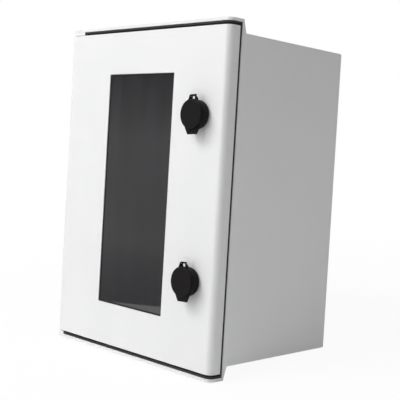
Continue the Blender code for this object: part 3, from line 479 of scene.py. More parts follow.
def makeSmokedPane(name):  # smoked polycarbonate: deep tint, gloss, faint upright streaks of painted reflection in its colour
    material, board, shader = newFinish(name)
    look = paneTint
    reflectionStreaks = board.noise(**look["reflectionStreaks"])
    cloud = board.noise(**look["cloud"])
    share = look["reflectionStreakShare"]
    # the tint turns pale along the upright streaks, a painted reflection of bright bands, and along
    # a random cloud of tone
    shade = board.span(share * reflectionStreaks + (1 - share) * cloud, **look["tone"])
    feed(board, shader, Base_Color=board.blend(shade, look["deep"], look["pale"]),
         Roughness=board.span(reflectionStreaks, **look["rough"]),
         Normal=board.bump(board.noise(**look["ripple"]), **look["bump"]), Alpha=look["alpha"],
         IOR=look["index"], Coat_Weight=look["coat"], Coat_Roughness=look["coatRough"])
    return material


sheetZinc = {
    "light": grey(0.7, (0.99, 1.0, 1.01)), "dark": grey(0.55, (0.98, 1.0, 1.02)),
    "spangle": 95.0, "spangleShare": 0.7, "fine": {"scale": 900, "detail": 3.0, "roughness": 0.6},
    "rough": {"low": 0.32, "high": 0.52}, "bump": {"distance": 0.00002, "strength": 0.4},
}


def makeGalvanised(name):  # galvanised sheet: flat spangles with their own tone and gloss
    material, board, shader = newFinish(name)
    look = sheetZinc
    spangle = board.node(
        "ShaderNodeTexVoronoi", {"feature": "F1"},
        {"Vector": board.spot(), "Scale": look["spangle"], "Randomness": 1.0}, "Color")
    tone = board.node("ShaderNodeSeparateColor", {}, {0: spangle}, 0)
    fine = board.noise(**look["fine"])
    share = look["spangleShare"]
    feed(board, shader, Base_Color=board.blend(tone, look["dark"], look["light"]), Metallic=1.0,
         Roughness=board.span(share * tone + (1 - share) * fine, **look["rough"]),
         Normal=board.bump(fine, **look["bump"]))
    return material


dieCastZinc = {
    "light": grey(0.56, (1.0, 0.99, 0.97)), "dark": grey(0.42, (1.0, 0.98, 0.95)),
    "stain": {"scale": 130, "detail": 3.0},
    "marks": {"scale": 1100, "detail": 4.0, "roughness": 0.65},
    "rough": {"low": 0.34, "high": 0.5, "start": 0.3, "end": 0.7},
    "bump": {"distance": 0.00005, "strength": 0.6},
}
zincPlating = {
    "light": grey(0.66, (0.99, 1.0, 1.02)), "dark": grey(0.5, (0.97, 0.99, 1.03)),
    "stain": {"scale": 240, "detail": 3.0},
    "marks": {"scale": 3200, "detail": 2.0, "stretch": (1, 0.15, 1)},
    "rough": {"low": 0.26, "high": 0.4, "start": 0.3, "end": 0.7},
    "bump": {"distance": 0.00002, "strength": 0.4},
}
turnedBrass = {
    "light": (0.69, 0.48, 0.2, 1.0), "dark": (0.5, 0.32, 0.11, 1.0),
    "stain": {"scale": 300, "detail": 3.0}, "marks": {"scale": 2600, "detail": 2.0},
    "rough": {"low": 0.28, "high": 0.42, "start": 0.3, "end": 0.7},
    "bump": {"distance": 0.00002, "strength": 0.4},
}


def makeMetal(name, look):  # a stained tone, with the fine marks of the mould or the lathe
    material, board, shader = newFinish(name)
    marks = board.noise(**look["marks"])
    colour = board.blend(board.noise(**look["stain"]), look["dark"], look["light"])
    feed(board, shader, Base_Color=colour, Metallic=1.0,
         Roughness=board.span(marks, **look["rough"]), Normal=board.bump(marks, **look["bump"]))
    return material


bodyGrey = makeMouldedGrey("bodyGrey")
doorGrey = makeMouldedGrey("doorGrey")
blackPlastic = makeBlackPlastic("blackPlastic")
blackRubber = makeRubber("blackRubber")
smokedPane = makeSmokedPane("smokedPane")
galvanised = makeGalvanised("galvanised")
castZinc = makeMetal("castZinc", dieCastZinc)
screwSteel = makeMetal("screwSteel", zincPlating)
brass = makeMetal("brass", turnedBrass)
print("finishes made")

doorLow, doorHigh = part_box("door")
bodyLow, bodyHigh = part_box("enclosure_body")
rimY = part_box("door_gasket")[1].y + fitGap
hingePlace = centreOf("hinge_pin_top")
lockNames = ("upper", "lower")


# The body: one deep moulding with a lip above and below the door

bodyShell = {
    "rimWall": 0.005, "backWall": 0.004, "draft": 0.0035, "innerDraft": 0.0025,
    "flangeRise": 0.0151, "lip": 0.0035, "flangeEdge": 0.002, "flangeRoot": 0.0065,
    "edgeRadius": 0.002, "innerRadius": 0.0015, "frontRadius": 0.0085,
    "bossRadius": 0.008, "bossRoot": 0.0088, "bracketWidth": 0.011, "bracketHeight": 0.012,
    "bracketLength": 0.045, "screwRadius": 0.00225, "plugHole": 0.0035, "softening": 0.0004,
}
hingeApron = {
    "top": -0.1223, "bottom": -0.1352, "outer": 0.0081, "inner": 0.006, "doorGap": 0.0005,
}


def makeHingeApron(side):  # the lip's curtain that hides the hinge above or below the door
    x, y = hingePlace.x, hingePlace.y
    end = hingeApron["top"] if side > 0 else hingeApron["bottom"]
    outer, inner = hingeApron["outer"], hingeApron["inner"]
    outline = arcPoints((x, y), outer, 180, 270, steps=8) + [(end, y - outer), (end, y - inner)]
    outline += arcPoints((x, y), inner, 270, 180, steps=8)
    near = side * (doorHigh.z + hingeApron["doorGap"])
    far = side * (bodyHigh.z - bodyShell["lip"] + fitGap)
    return slab("hingeApron", outline, alongZ, near, far)


def makeFlange(side):
    sizes = bodyShell
    root = bodyHigh.z - sizes["flangeRise"] - sizes["rimWall"]
    inside = bodyHigh.z - sizes["lip"]
    outline = [
        (bodyLow.y, side * inside),
        (bodyLow.y, side * bodyHigh.z),
        (rimY + sizes["flangeEdge"], side * bodyHigh.z),
        (rimY + sizes["flangeRoot"], side * (root + sizes["rimWall"] - fitGap)),
        (rimY + sizes["flangeRoot"], side * root),
        (rimY, side * root),
        (rimY, side * inside),
    ]
    flange = slab("flange", outline, alongX, bodyLow.x, bodyHigh.x)
    bevelEdges(
        flange, lambda edge: runsAlong(edge, alongZ) and middleOf(edge).y < bodyLow.y + fitGap,
        sizes["frontRadius"], segments=12)
    return flange


def makeBodyShell():
    sizes = bodyShell
    halfX = bodyHigh.x
    halfZ = bodyHigh.z - sizes["flangeRise"]
    shell = block("bodyShell", (-halfX, rimY, -halfZ), (halfX, 0, halfZ))
    openEdit(shell, "FACE", looksBack)
    shrink = (1 - sizes["draft"] / halfX, 1, 1 - sizes["draft"] / halfZ)
    bpy.ops.transform.resize(value=shrink, center_override=(0, 0, 0))
    closeEdit()
    bevelEdges(shell, lambda edge: True, sizes["edgeRadius"], segments=4)
    openEdit(shell, "FACE", lambda face: face.normal.y < -0.999)  # the front without its bevels
    bpy.ops.mesh.inset(thickness=sizes["rimWall"] - sizes["edgeRadius"])
    depth = -sizes["backWall"] - rimY
    bpy.ops.mesh.extrude_region_move(TRANSFORM_OT_translate={"value": (0, depth, 0)})
    cavityX = halfX - sizes["rimWall"]
    cavityZ = halfZ - sizes["rimWall"]
    shrink = (1 - sizes["innerDraft"] / cavityX, 1, 1 - sizes["innerDraft"] / cavityZ)
    bpy.ops.transform.resize(value=shrink, center_override=(0, 0, 0))
    closeEdit()

    def insideEdge(edge):
        for vertex in edge.verts:
            if abs(vertex.co.x) > cavityX + fitGap or abs(vertex.co.z) > cavityZ + fitGap:
                return False
        return middleOf(edge).y > rimY + past and middleOf(edge).y < -sizes["backWall"] + fitGap
    bevelEdges(shell, insideEdge, sizes["innerRadius"], segments=3)
    unite(shell, makeFlange(1), makeFlange(-1), makeHingeApron(1), makeHingeApron(-1))
    for i in range(1, 5):
        low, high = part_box(f"plate_insert_{i}")
        place = centreOf(f"plate_insert_{i}")
        unite(shell, bar(
            "boss", sizes["bossRoot"], (place.x, -sizes["backWall"] + fitGap, place.z),
            (place.x, low.y, place.z), sides=40, endRadius=sizes["bossRadius"]))
        bore = (high.x - low.x) / 2 + fitGap
        drill(shell, bore, place, low.y - fitGap, high.y + 2 * fitGap, sides=32)
        hole = centreOf(f"wall_hole_plug_{i}")
        drill(shell, sizes["plugHole"], hole, -2 * sizes["backWall"], past, sides=32)
    wall = halfX - sizes["rimWall"]
    for lockName in lockNames:
        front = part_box(f"{lockName}_lock_keeper")[1].y + fitGap
        for i in (1, 2):
            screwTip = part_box(f"{lockName}_keeper_screw_{i}")[1].y
            place = centreOf(f"{lockName}_keeper_screw_{i}")
            outline = [
                (wall - sizes["bracketWidth"], front), (wall + fitGap, front),
                (wall + fitGap, front + sizes["bracketLength"]),
            ]
            half = sizes["bracketHeight"] / 2
            unite(shell, slab("bracket", outline, alongZ, place.z - half, place.z + half))
            drill(shell, sizes["screwRadius"], place, front - past, screwTip + fitGap, sides=24)
    for side in (1, -1):
        pinLow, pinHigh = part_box("hinge_pin_top" if side > 0 else "hinge_pin_bottom")
        headRadius = (pinHigh.x - pinLow.x) / 2 + fitGap
        end = side * (bodyHigh.z + past)
        inner = side * (bodyHigh.z - 2 * sizes["lip"])
        seat = side * (bodyHigh.z - hingePin["head"] - 2 * fitGap)
        x, y = hingePlace.x, hingePlace.y
        holeRadius = hingePin["radius"] + fitGap
        carve(shell, bar("pinHole", holeRadius, (x, y, inner), (x, y, end), sides=32))
        carve(shell, bar("pinHead", headRadius, (x, y, seat), (x, y, end), sides=32))
    soften(shell, sizes["softening"])
    dress(shell, bodyGrey)
    fit(shell, "cabinet", "light_grey_plastic", "enclosure_body")


# The hinge: a headed pin in each lip, and a bush with a collar in the door

hingePin = {
    "radius": 0.0025, "headRadius": 0.0035, "head": 0.0012, "crown": 0.0004, "dimple": 0.35,
    "dimpleFloor": 0.25, "bushWall": 0.0016, "collar": 0.0012, "edgeRound": 0.0003,
}


def hingeEnds(node, side):  # the inner and the outer level of a piece of the hinge
    low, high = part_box(node)
    return (low.z, high.z) if side > 0 else (high.z, low.z)


def makeHinge():
    radius, head, headRadius = hingePin["radius"], hingePin["head"], hingePin["headRadius"]
    crown, edgeRound = hingePin["crown"], hingePin["edgeRound"]
    for side, name in ((1, "top"), (-1, "bottom")):
        inner, outer = hingeEnds(f"hinge_pin_{name}", side)
        reach = abs(outer - inner)
        pin = lathe(f"hingePin_{name}", [
            (0, 0), (radius - crown, 0), (radius, crown), (radius, reach - head),
            (headRadius, reach - head), (headRadius, reach - crown / 2),
            (headRadius - crown / 2, reach), (headRadius * hingePin["dimple"], reach),
            (headRadius * hingePin["dimpleFloor"], reach - crown / 2), (0, reach - crown / 2),
        ], axis=(0, 0, 1), steps=40)
        turned(pin, side, inner)
        dress(pin, screwSteel)
        fit(pin, "cabinet", "steel", f"hinge_pin_{name}")
        inner, outer = hingeEnds(f"hinge_bush_{name}", side)
        reach = abs(outer - inner)
        bore = radius + pinGap
        wall = bore + hingePin["bushWall"]
        collarRadius = wall + hingePin["collar"]
        collarBase = abs(doorHigh.z + pinGap - abs(inner))
        collarTop = collarBase + hingePin["collar"]
        bush = lathe(f"hingeBush_{name}", [
            (bore, 0), (wall - edgeRound, 0), (wall, edgeRound), (wall, collarBase),
            (collarRadius - edgeRound / 2, collarBase), (collarRadius, collarBase + edgeRound),
            (collarRadius, collarTop - edgeRound), (collarRadius - edgeRound, collarTop),
            (wall, collarTop), (wall, reach - edgeRound), (wall - edgeRound, reach),
            (bore + edgeRound, reach), (bore, reach - edgeRound),
        ], axis=(0, 0, 1), steps=40, closed=True)
        turned(bush, side, inner)
        dress(bush, blackPlastic)
        fit(bush, "door", "black_plastic", f"hinge_bush_{name}")


def turned(piece, side, level):  # moves a piece to the hinge axis, upside down at the bottom
    turn = Matrix.Identity(4) if side > 0 else Matrix.Rotation(math.pi, 4, "X")
    placeAt(piece, Matrix.Translation((hingePlace.x, hingePlace.y, level)) @ turn)


# The seal around the door: a frame behind its edge, with a strip under each lip

doorGasket = {
    "sideWidth": 0.0044, "endWidth": 0.0115, "strip": 0.0022, "cornerRadius": 0.0078,
    "openingRadius": 0.002, "softening": 0.0003,
}


def makeDoorGasket():
    sizes = doorGasket
    low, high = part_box("door_gasket")
    frontY = doorHigh.y + fitGap
    gasket = block("doorGasket", (low.x, frontY, low.z), (high.x, high.y, high.z))
    for side in (1, -1):
        level = side * (high.z - sizes["strip"])
        openEdit(gasket, "FACE", lambda face: True)
        bpy.ops.mesh.bisect(plane_co=(0, 0, level), plane_no=(0, 0, 1))
        closeEdit()

    def inStrip(face):
        return looksFront(face) and abs(face.calc_center_median().z) > high.z - sizes["strip"]
    openEdit(gasket, "FACE", inStrip)
    bpy.ops.mesh.extrude_region_move(TRANSFORM_OT_translate={"value": (0, low.y - frontY, 0)})
    closeEdit()
    bevelEdges(
        gasket, lambda edge: runsAlong(edge, alongZ) and middleOf(edge).y < low.y + fitGap,
        sizes["cornerRadius"], segments=12)
    innerX = high.x - sizes["sideWidth"]
    innerZ = high.z - sizes["endWidth"]
    opening = block(
        "gasketOpening", (-innerX, frontY - past, -innerZ), (innerX, high.y + past, innerZ))
    bevelEdges(opening, lambda edge: runsAlong(edge, alongY), sizes["openingRadius"], segments=5)
    relief = bar(
        "gasketRelief", hingePin["radius"] + hingePin["bushWall"] + 2 * fitGap,
        (hingePlace.x, hingePlace.y, low.z - past), (hingePlace.x, hingePlace.y, high.z + past),
        sides=48)
    carve(gasket, opening, relief)
    for side in (1, -1):  # the strips start beside the hinge aprons
        end = (hingeApron["top"] if side > 0 else hingeApron["bottom"]) + fitGap
        levels = sorted((side * (high.z - sizes["strip"] - fitGap), side * (high.z + past)))
        carve(gasket, block(
            "stripEnd", (low.x - past, low.y - past, levels[0]), (end, frontY, levels[1])))
    soften(gasket, sizes["softening"], segments=2)
    dress(gasket, blackRubber)
    fit(gasket, "cabinet", "black_rubber", "door_gasket")


# The door: a shallow moulded tray with a half-round hinge edge

doorShell = {
    "skin": 0.004, "frame": 0.011, "hingeFrame": 0.021, "rim": 0.0008, "pocketRadius": 0.0015,
    "bossRadius": 0.004, "bossFlare": 0.0003, "screwRadius": 0.00165, "lockHole": 0.0113,
    "softening": 0.0003,
}
windowSizes = {
    "flange": 0.007, "sealLip": 0.0012, "sealSheet": 0.0015, "paneWall": 0.003,
    "paneFlange": 0.0025, "frameRadius": 0.004, "frameOpeningRadius": 0.001,
    "paneSoftening": 0.0004, "sealSoftening": 0.00025, "frameSoftening": 0.0003,
}
sealLow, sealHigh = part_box("window_seal")
openingX = sealHigh.x - windowSizes["flange"]
openingZ = sealHigh.z - windowSizes["flange"]
windowScrews = [centreOf(f"window_screw_{i}") for i in range(1, 9)]


def makeDoorShell():
    sizes = doorShell
    door = block("doorShell", doorLow, doorHigh)
    radius = (doorHigh.y - doorLow.y) / 2

    def roundEdge(edge):
        place = middleOf(edge)
        return runsAlong(edge, alongZ) and (place.x < 0 or place.y < centreOf("door").y)
    bevelEdges(door, roundEdge, radius, segments=14)
    tidyMesh(door)
    bevelEdges(
        door, lambda edge: abs(middleOf(edge).z) > doorHigh.z - fitGap, sizes["rim"], segments=3)
    skinY = doorLow.y + sizes["skin"]
    pocket = block(
        "pocket", (doorLow.x + sizes["hingeFrame"], skinY, doorLow.z + sizes["frame"]),
        (doorHigh.x - sizes["frame"], doorHigh.y + past, doorHigh.z - sizes["frame"]))
    bevelEdges(
        pocket, lambda edge: middleOf(edge).y < doorHigh.y, sizes["pocketRadius"], segments=4)
    opening = block(
        "opening", (-openingX, doorLow.y - past, -openingZ), (openingX, skinY + past, openingZ))
    carve(door, pocket, opening)
    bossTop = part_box("window_frame")[0].y - fitGap
    for place in windowScrews:
        unite(door, bar(
            "windowBoss", sizes["bossRadius"] + sizes["bossFlare"],
            (place.x, skinY - fitGap, place.z), (place.x, bossTop, place.z), sides=28,
            endRadius=sizes["bossRadius"]))
        drill(door, sizes["screwRadius"], place, skinY - fitGap, bossTop + past, sides=20)
    for lockName in lockNames:
        place = centreOf(f"{lockName}_lock_seal")
        drill(door, sizes["lockHole"], place, doorLow.y - past, skinY + past, sides=48)
    for name, side in (("top", 1), ("bottom", -1)):
        inner = hingeEnds(f"hinge_bush_{name}", side)[0]
        carve(door, bar(
            "bushHole", hingePin["radius"] + 2 * pinGap + hingePin["bushWall"],
            (hingePlace.x, hingePlace.y, inner - side * 2 * fitGap),
            (hingePlace.x, hingePlace.y, side * (doorHigh.z + past)), sides=40))
    soften(door, sizes["softening"])
    dress(door, doorGrey)
    fit(door, "door", "light_grey_plastic", "door")


# The window: a smoked tray behind the door's opening, its seal, and the frame that clamps it

def makeWindowPane():
    low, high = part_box("window_pane")
    sizes = windowSizes
    frontX = openingX - sizes["sealLip"] - 2 * fitGap
    pane = block("windowPane", (low.x, high.y - sizes["paneFlange"], low.z), high)
    openEdit(pane, "FACE", looksFront)
    bpy.ops.mesh.inset(thickness=high.x - frontX)
    bpy.ops.mesh.extrude_region_move(
        TRANSFORM_OT_translate={"value": (0, low.y - high.y + sizes["paneFlange"], 0)})
    closeEdit()
    openEdit(pane, "FACE", looksBack)
    bpy.ops.mesh.inset(thickness=high.x - frontX + sizes["paneWall"])
    bpy.ops.mesh.extrude_region_move(
        TRANSFORM_OT_translate={"value": (0, low.y - high.y + sizes["paneWall"], 0)})
    closeEdit()
    soften(pane, sizes["paneSoftening"])
    dress(pane, smokedPane)
    fit(pane, "door", "smoked_pane", "window_pane")


def makeWindowSeal():
    sizes = windowSizes
    sheetY = sealHigh.y - sizes["sealSheet"]
    innerX = openingX - fitGap - sizes["sealLip"]
    innerZ = openingZ - fitGap - sizes["sealLip"]
    seal = block("windowSeal", (sealLow.x, sheetY, sealLow.z), sealHigh)
    openEdit(seal, "FACE", looksFront)
    bpy.ops.mesh.inset(thickness=sealHigh.x - openingX + fitGap)
    bpy.ops.mesh.extrude_region_move(
        TRANSFORM_OT_translate={"value": (0, sealLow.y - sheetY, 0)})
    closeEdit()
    carve(seal, block(
        "sealOpening", (-innerX, sealLow.y - past, -innerZ), (innerX, sealHigh.y + past, innerZ)))
    soften(seal, sizes["sealSoftening"], segments=2)
    dress(seal, blackRubber)
    fit(seal, "door", "black_rubber", "window_seal")


def makeWindowFrame():
    low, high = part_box("window_frame")
    sizes = windowSizes
    ring = slab(
        "windowFrame", roundedOutline(high.x, high.z, sizes["frameRadius"]), alongY, low.y, high.y)
    opening = roundedOutline(openingX, openingZ, sizes["frameOpeningRadius"], steps=3)
    carve(ring, slab("frameOpening", opening, alongY, low.y - past, high.y + past))
    for place in windowScrews:
        drill(ring, doorShell["screwRadius"], place, low.y - past, high.y + past, sides=24)
    soften(ring, sizes["frameSoftening"])
    dress(ring, blackPlastic)
    fit(ring, "door", "black_plastic", "window_frame")


# Pan-head screws with a cross recess: the head looks along -Y, its seat is at the origin

windowScrew = {"radius": 0.0014, "headRadius": 0.003, "head": 0.0018, "pitch": 0.0006}
plateScrew = {"radius": 0.0025, "headRadius": 0.0048, "head": 0.0034, "pitch": 0.0008}
keeperScrew = {"radius": 0.002, "headRadius": 0.004, "head": 0.0024, "pitch": 0.0008}
camScrew = {"radius": 0.002, "headRadius": 0.0065, "head": 0.0024, "pitch": 0.0007}
screwShape = {  # shares of the head's height or radius, of the pitch, and of the shank's radius
    "domeFoot": 0.45, "domeRise": 0.55, "rim": 0.1, "rimFoot": 0.96, "firstTurn": 0.7,
    "threadRoot": 0.84, "tip": 0.7, "tipLength": 0.2, "point": 0.5,
    "crossLength": 0.62, "crossWidth": 0.13, "crossFloor": 0.42, "crossTaper": 0.72,
}


def makeScrew(name, sizes, reach):
    shape = screwShape
    radius, headRadius, head, pitch = (
        sizes[size] for size in ("radius", "headRadius", "head", "pitch"))
    crown = [(0, head)]
    for i in range(1, 7):  # a low dome that turns down into the rim
        angle = math.radians(90 * i / 6)
        level = head * (shape["domeFoot"] + shape["domeRise"] * math.cos(angle))
        crown.append((headRadius * math.sin(angle), level))
    profile = crown + [
        (headRadius, head * shape["rim"]), (headRadius * shape["rimFoot"], 0), (radius, 0)]
    turns = int((reach - radius) / pitch)
    for i in range(turns):
        level = -pitch * (i + shape["firstTurn"])
        profile += [(radius * shape["threadRoot"], level), (radius, level - pitch / 2)]
    profile += [
        (radius * shape["tip"], -reach + radius * shape["tipLength"]),
        (radius * shape["point"], -reach), (0, -reach),
    ]
    screw = lathe(name, profile, steps=36)
    wide, narrow = headRadius * shape["crossLength"], headRadius * shape["crossWidth"]
    floor = -head * shape["crossFloor"]
    taper = shape["crossTaper"]
    for halfX, halfZ in ((wide, narrow), (narrow, wide)):
        slot = block("slot", (-halfX, -head - past, -halfZ), (halfX, floor, halfZ))
        openEdit(slot, "FACE", looksBack)
        bpy.ops.transform.resize(value=(taper, 1, taper), center_override=(0, floor, 0))
        closeEdit()
        carve(screw, slot)
    return dress(screw, screwSteel)


def makeWindowScrews():
    low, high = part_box("window_screw_1")
    seatY = high.y - windowScrew["head"]
    model = makeScrew("windowScrewModel", windowScrew, seatY - low.y)
    for i, place in enumerate(windowScrews, 1):
        screw = copyTo(model, f"windowScrew_{i}", facingBack((place.x, seatY, place.z)))
        fit(screw, "door", "steel", f"window_screw_{i}")
    bpy.data.objects.remove(model)


# The mounting plate, with its inserts, washers and screws

platePieces = {
    "cornerRadius": 0.006, "hole": 0.0028, "insertBore": 0.00275, "washerBore": 0.0028,
    "softening": 0.00025, "insertChamfer": 0.0004, "waist": 0.45, "groove": 0.001,
    "knurlStep": 7.5, "knurlMargin": 0.00005, "knurlBorder": 0.00006, "knurlDepth": 0.00015,
    "washerEdge": 0.00015, "screwTurn": 37,
}


def makePlate():
    sizes = platePieces
    low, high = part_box("mounting_plate")
    outline = roundedOutline(high.x, high.z, sizes["cornerRadius"])
    plate = slab("mountingPlate", outline, alongY, low.y, high.y)
    for i in range(1, 5):
        place = centreOf(f"plate_screw_{i}")
        drill(plate, sizes["hole"], place, low.y - past, high.y + past, sides=32)
    soften(plate, sizes["softening"], segments=2)
    dress(plate, galvanised)
    fit(plate, "cabinet", "zinc_plate", "mounting_plate")


def makePlateFasteners():
    sizes = platePieces
    insertLow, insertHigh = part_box("plate_insert_1")
    radius = (insertHigh.x - insertLow.x) / 2
    length = insertHigh.y - insertLow.y
    bore, chamfer = sizes["insertBore"], sizes["insertChamfer"]
    waist = length * sizes["waist"]  # a plain groove between two knurled bands
    insert = lathe("insertModel", [
        (bore + chamfer, 0), (radius - chamfer, 0), (radius, -chamfer), (radius, -waist),
        (radius - chamfer, -waist), (radius - chamfer, -waist - sizes["groove"]),
        (radius, -waist - sizes["groove"]), (radius, -length + chamfer),
        (radius - chamfer, -length), (bore, -length), (bore, -chamfer),
    ], steps=48, closed=True)

    def knurl(face):
        middle = face.calc_center_median()
        outside = math.hypot(middle.x, middle.z) > radius - sizes["knurlMargin"]
        turn = math.degrees(math.atan2(middle.z, middle.x))
        spoke = int(round(turn / sizes["knurlStep"] - 0.5))
        return outside and abs(face.normal.y) < 1 - straight and spoke % 2 == 0
    openEdit(insert, "FACE", knurl)
    bpy.ops.mesh.inset(
        thickness=sizes["knurlBorder"], depth=-sizes["knurlDepth"], use_individual=True)
    closeEdit()
    dress(insert, brass)
    washerLow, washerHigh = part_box("plate_washer_1")
    outer = (washerHigh.x - washerLow.x) / 2
    thick = washerHigh.y - washerLow.y
    inner, edge = sizes["washerBore"], sizes["washerEdge"]
    washer = lathe("washerModel", [
        (inner + edge, thick), (outer - edge, thick), (outer, thick - edge), (outer, edge),
        (outer - edge, 0), (inner, 0), (inner, thick - edge),
    ], steps=48, closed=True)
    dress(washer, screwSteel)
    screwLow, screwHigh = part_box("plate_screw_1")
    seatY = screwLow.y + plateScrew["head"]
    screw = makeScrew("plateScrewModel", plateScrew, screwHigh.y - seatY)
    pieces = (
        (insert, insertLow.y, "plateInsert", "plate_insert", "brass"),
        (washer, washerHigh.y, "plateWasher", "plate_washer", "steel"),
        (screw, seatY, "plateScrew", "plate_screw", "steel"),
    )
    for i in range(1, 5):
        place = centreOf(f"plate_screw_{i}")
        turn = Matrix.Rotation(math.radians(sizes["screwTurn"] * i), 4, "Y")  # each its own stop
        for model, level, name, node, slotName in pieces:
            spot = Matrix.Translation((place.x, level, place.z)) @ turn
            fit(copyTo(model, f"{name}_{i}", spot), "cabinet", slotName, f"{node}_{i}")
    for model in (insert, washer, screw):
        bpy.data.objects.remove(model)


# Sealing plugs in the wall fixing holes

wallPlug = {
    "head": 0.002, "chamfer": 0.0005, "hollow": 0.55, "hollowFloor": 0.3,
    "crown": (  # shares of the head's radius and height
        (0, 0.78), (0.45, 0.78), (0.52, 0.98), (0.8, 0.9), (0.95, 0.6), (1, 0.25), (1, 0)),
}


def makeWallPlugs():
    low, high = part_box("wall_hole_plug_1")
    headRadius = (high.x - low.x) / 2
    head, chamfer = wallPlug["head"], wallPlug["chamfer"]
    seatY = low.y + head
    shank = bodyShell["plugHole"] - pinGap
    hollow = shank * wallPlug["hollow"]
    reach = high.y - seatY
    model = lathe("plugModel", [
        (headRadius * out, head * rise) for out, rise in wallPlug["crown"]
    ] + [
        (shank, 0), (shank, -reach + chamfer), (shank - chamfer, -reach), (hollow, -reach),
        (hollow, -reach * wallPlug["hollowFloor"]), (0, -reach * wallPlug["hollowFloor"]),
    ], steps=40)
    dress(model, blackPlastic)
    for i in range(1, 5):
        place = centreOf(f"wall_hole_plug_{i}")
        plug = copyTo(model, f"wallHolePlug_{i}", Matrix.Translation((place.x, seatY, place.z)))
        fit(plug, "cabinet", "black_plastic", f"wall_hole_plug_{i}")
    bpy.data.objects.remove(model)


# Keepers on the brackets of the right-hand wall

keeperSizes = {"cornerRadius": 0.002, "softening": 0.0003, "firstTurn": 25, "turnStep": 48}


def makeKeepers():
    sizes = keeperSizes
    screwLow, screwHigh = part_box("upper_keeper_screw_1")
    seatY = screwLow.y + keeperScrew["head"]
    model = makeScrew("keeperScrewModel", keeperScrew, screwHigh.y - seatY)
    for lockName in lockNames:
        low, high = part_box(f"{lockName}_lock_keeper")
        keeper = block(f"{lockName}Keeper", low, high)
        bevelEdges(keeper, lambda edge: runsAlong(edge, alongY), sizes["cornerRadius"], segments=5)
        for i in (1, 2):
            place = centreOf(f"{lockName}_keeper_screw_{i}")
            drill(keeper, bodyShell["screwRadius"], place, low.y - past, high.y + past, sides=28)
            angle = math.radians(sizes["firstTurn"] + sizes["turnStep"] * i)
            spot = Matrix.Translation((place.x, seatY, place.z)) @ Matrix.Rotation(angle, 4, "Y")
            screw = copyTo(model, f"{lockName}KeeperScrew_{i}", spot)
            fit(screw, "cabinet", "steel", f"{lockName}_keeper_screw_{i}")
        soften(keeper, sizes["softening"])
        dress(keeper, galvanised)
        fit(keeper, "cabinet", "zinc_plate", f"{lockName}_lock_keeper")
    bpy.data.objects.remove(model)


# A lock, modelled at the origin: X to the right, levels run outwards along -Y

lock = {
    "turn": 3.0, "sealRadius": 0.016, "sealBase": 0.0003, "sealTop": 0.0018, "sealEdge": 0.0004,
    "drumRadius": 0.0168, "drumBase": 0.0021, "drumTop": 0.0103, "drumRound": 0.0006,
    "drumEdge": 0.0002, "drumFoot": 0.0003, "wellRadius": 0.0126, "wellFloor": 0.005,
    "shankRadius": 0.011, "shankEnd": -0.0285, "shankChamfer": 0.0004,
    "threadPitch": 0.0015, "threadDepth": 0.0006, "threadStart": 0.001,
    "coreRadius": 0.007, "coreTop": 0.0085, "coreEdge": 0.0003, "coreSoftening": 0.00015,
    "coreRing": (0.0022, 0.0018, 0.0012, 0.0008),  # steps of the ring groove, inwards from the rim
    "keyRadius": 0.0055, "keyDepth": 0.0022, "keyEdge": 0.0005,
    "square": 0.008, "squareEdge": 0.0004, "camScrewReach": 0.009,
    "nutFlats": 0.029, "nutTop": -0.0043, "nutBase": -0.0093, "nutFace": 0.0002,
    "nutChamfer": 0.0013, "camTop": -0.0288, "camBase": -0.0318, "camWidth": 0.014,
    "camReach": 0.032, "camCorner": 0.0015, "hubRadius": 0.0085, "softening": 0.0003,
}
cover = {
    "radius": 0.0176, "capRadius": 0.0172, "base": 0.0106, "flange": 0.0014, "top": 0.015,
    "skin": 0.0016, "rounding": 0.0009, "softening": 0.00018,
    "tabReach": 0.0229, "tabHalf": 0.0075, "prongCorner": 0.4,
    "earReach": 0.0218, "earRoot": 0.0076, "earThickness": 0.0013, "earOverlap": 0.0001,
    "earCorner": 0.0013, "eyeHalf": 0.0024, "eyeCorner": 0.0009,
    "knuckleRadius": 0.00105, "knuckleLevel": 0.01045, "knuckleGap": 0.0003,
    "knuckleLength": 0.0012, "knuckleRounding": 0.0005, "baseKnuckle": 0.0037,
    "baseKnuckleRounding": 0.0002, "pinRadius": 0.00045, "pinChamfer": 0.0001,
}


def coverOutline():
    radius = cover["radius"]
    corner = (cover["tabHalf"], -cover["tabReach"])
    tangent = math.degrees(
        math.atan2(corner[1], corner[0]) + math.acos(radius / math.hypot(*corner)))
    root = math.degrees(math.acos(cover["earRoot"] / radius))
    top = cover["earReach"]
    trim = cover["prongCorner"] * cover["knuckleRadius"]
    prongIn = cover["baseKnuckle"] + cover["knuckleGap"]
    prongOut = prongIn + cover["knuckleLength"]
    inside = math.degrees(math.acos(prongIn / radius))
    right = arcPoints((0, 0), radius, tangent, root, steps=18)
    right += [
        (prongOut, top - cover["knuckleRadius"]), (prongOut, top - trim), (prongOut - trim, top),
        (prongIn, top),
    ]
    middle = arcPoints((0, 0), radius, inside, 180 - inside, steps=6)
    left = [(-x, z) for x, z in reversed(right)]
    return right + middle + left + [(-corner[0], corner[1]), corner]


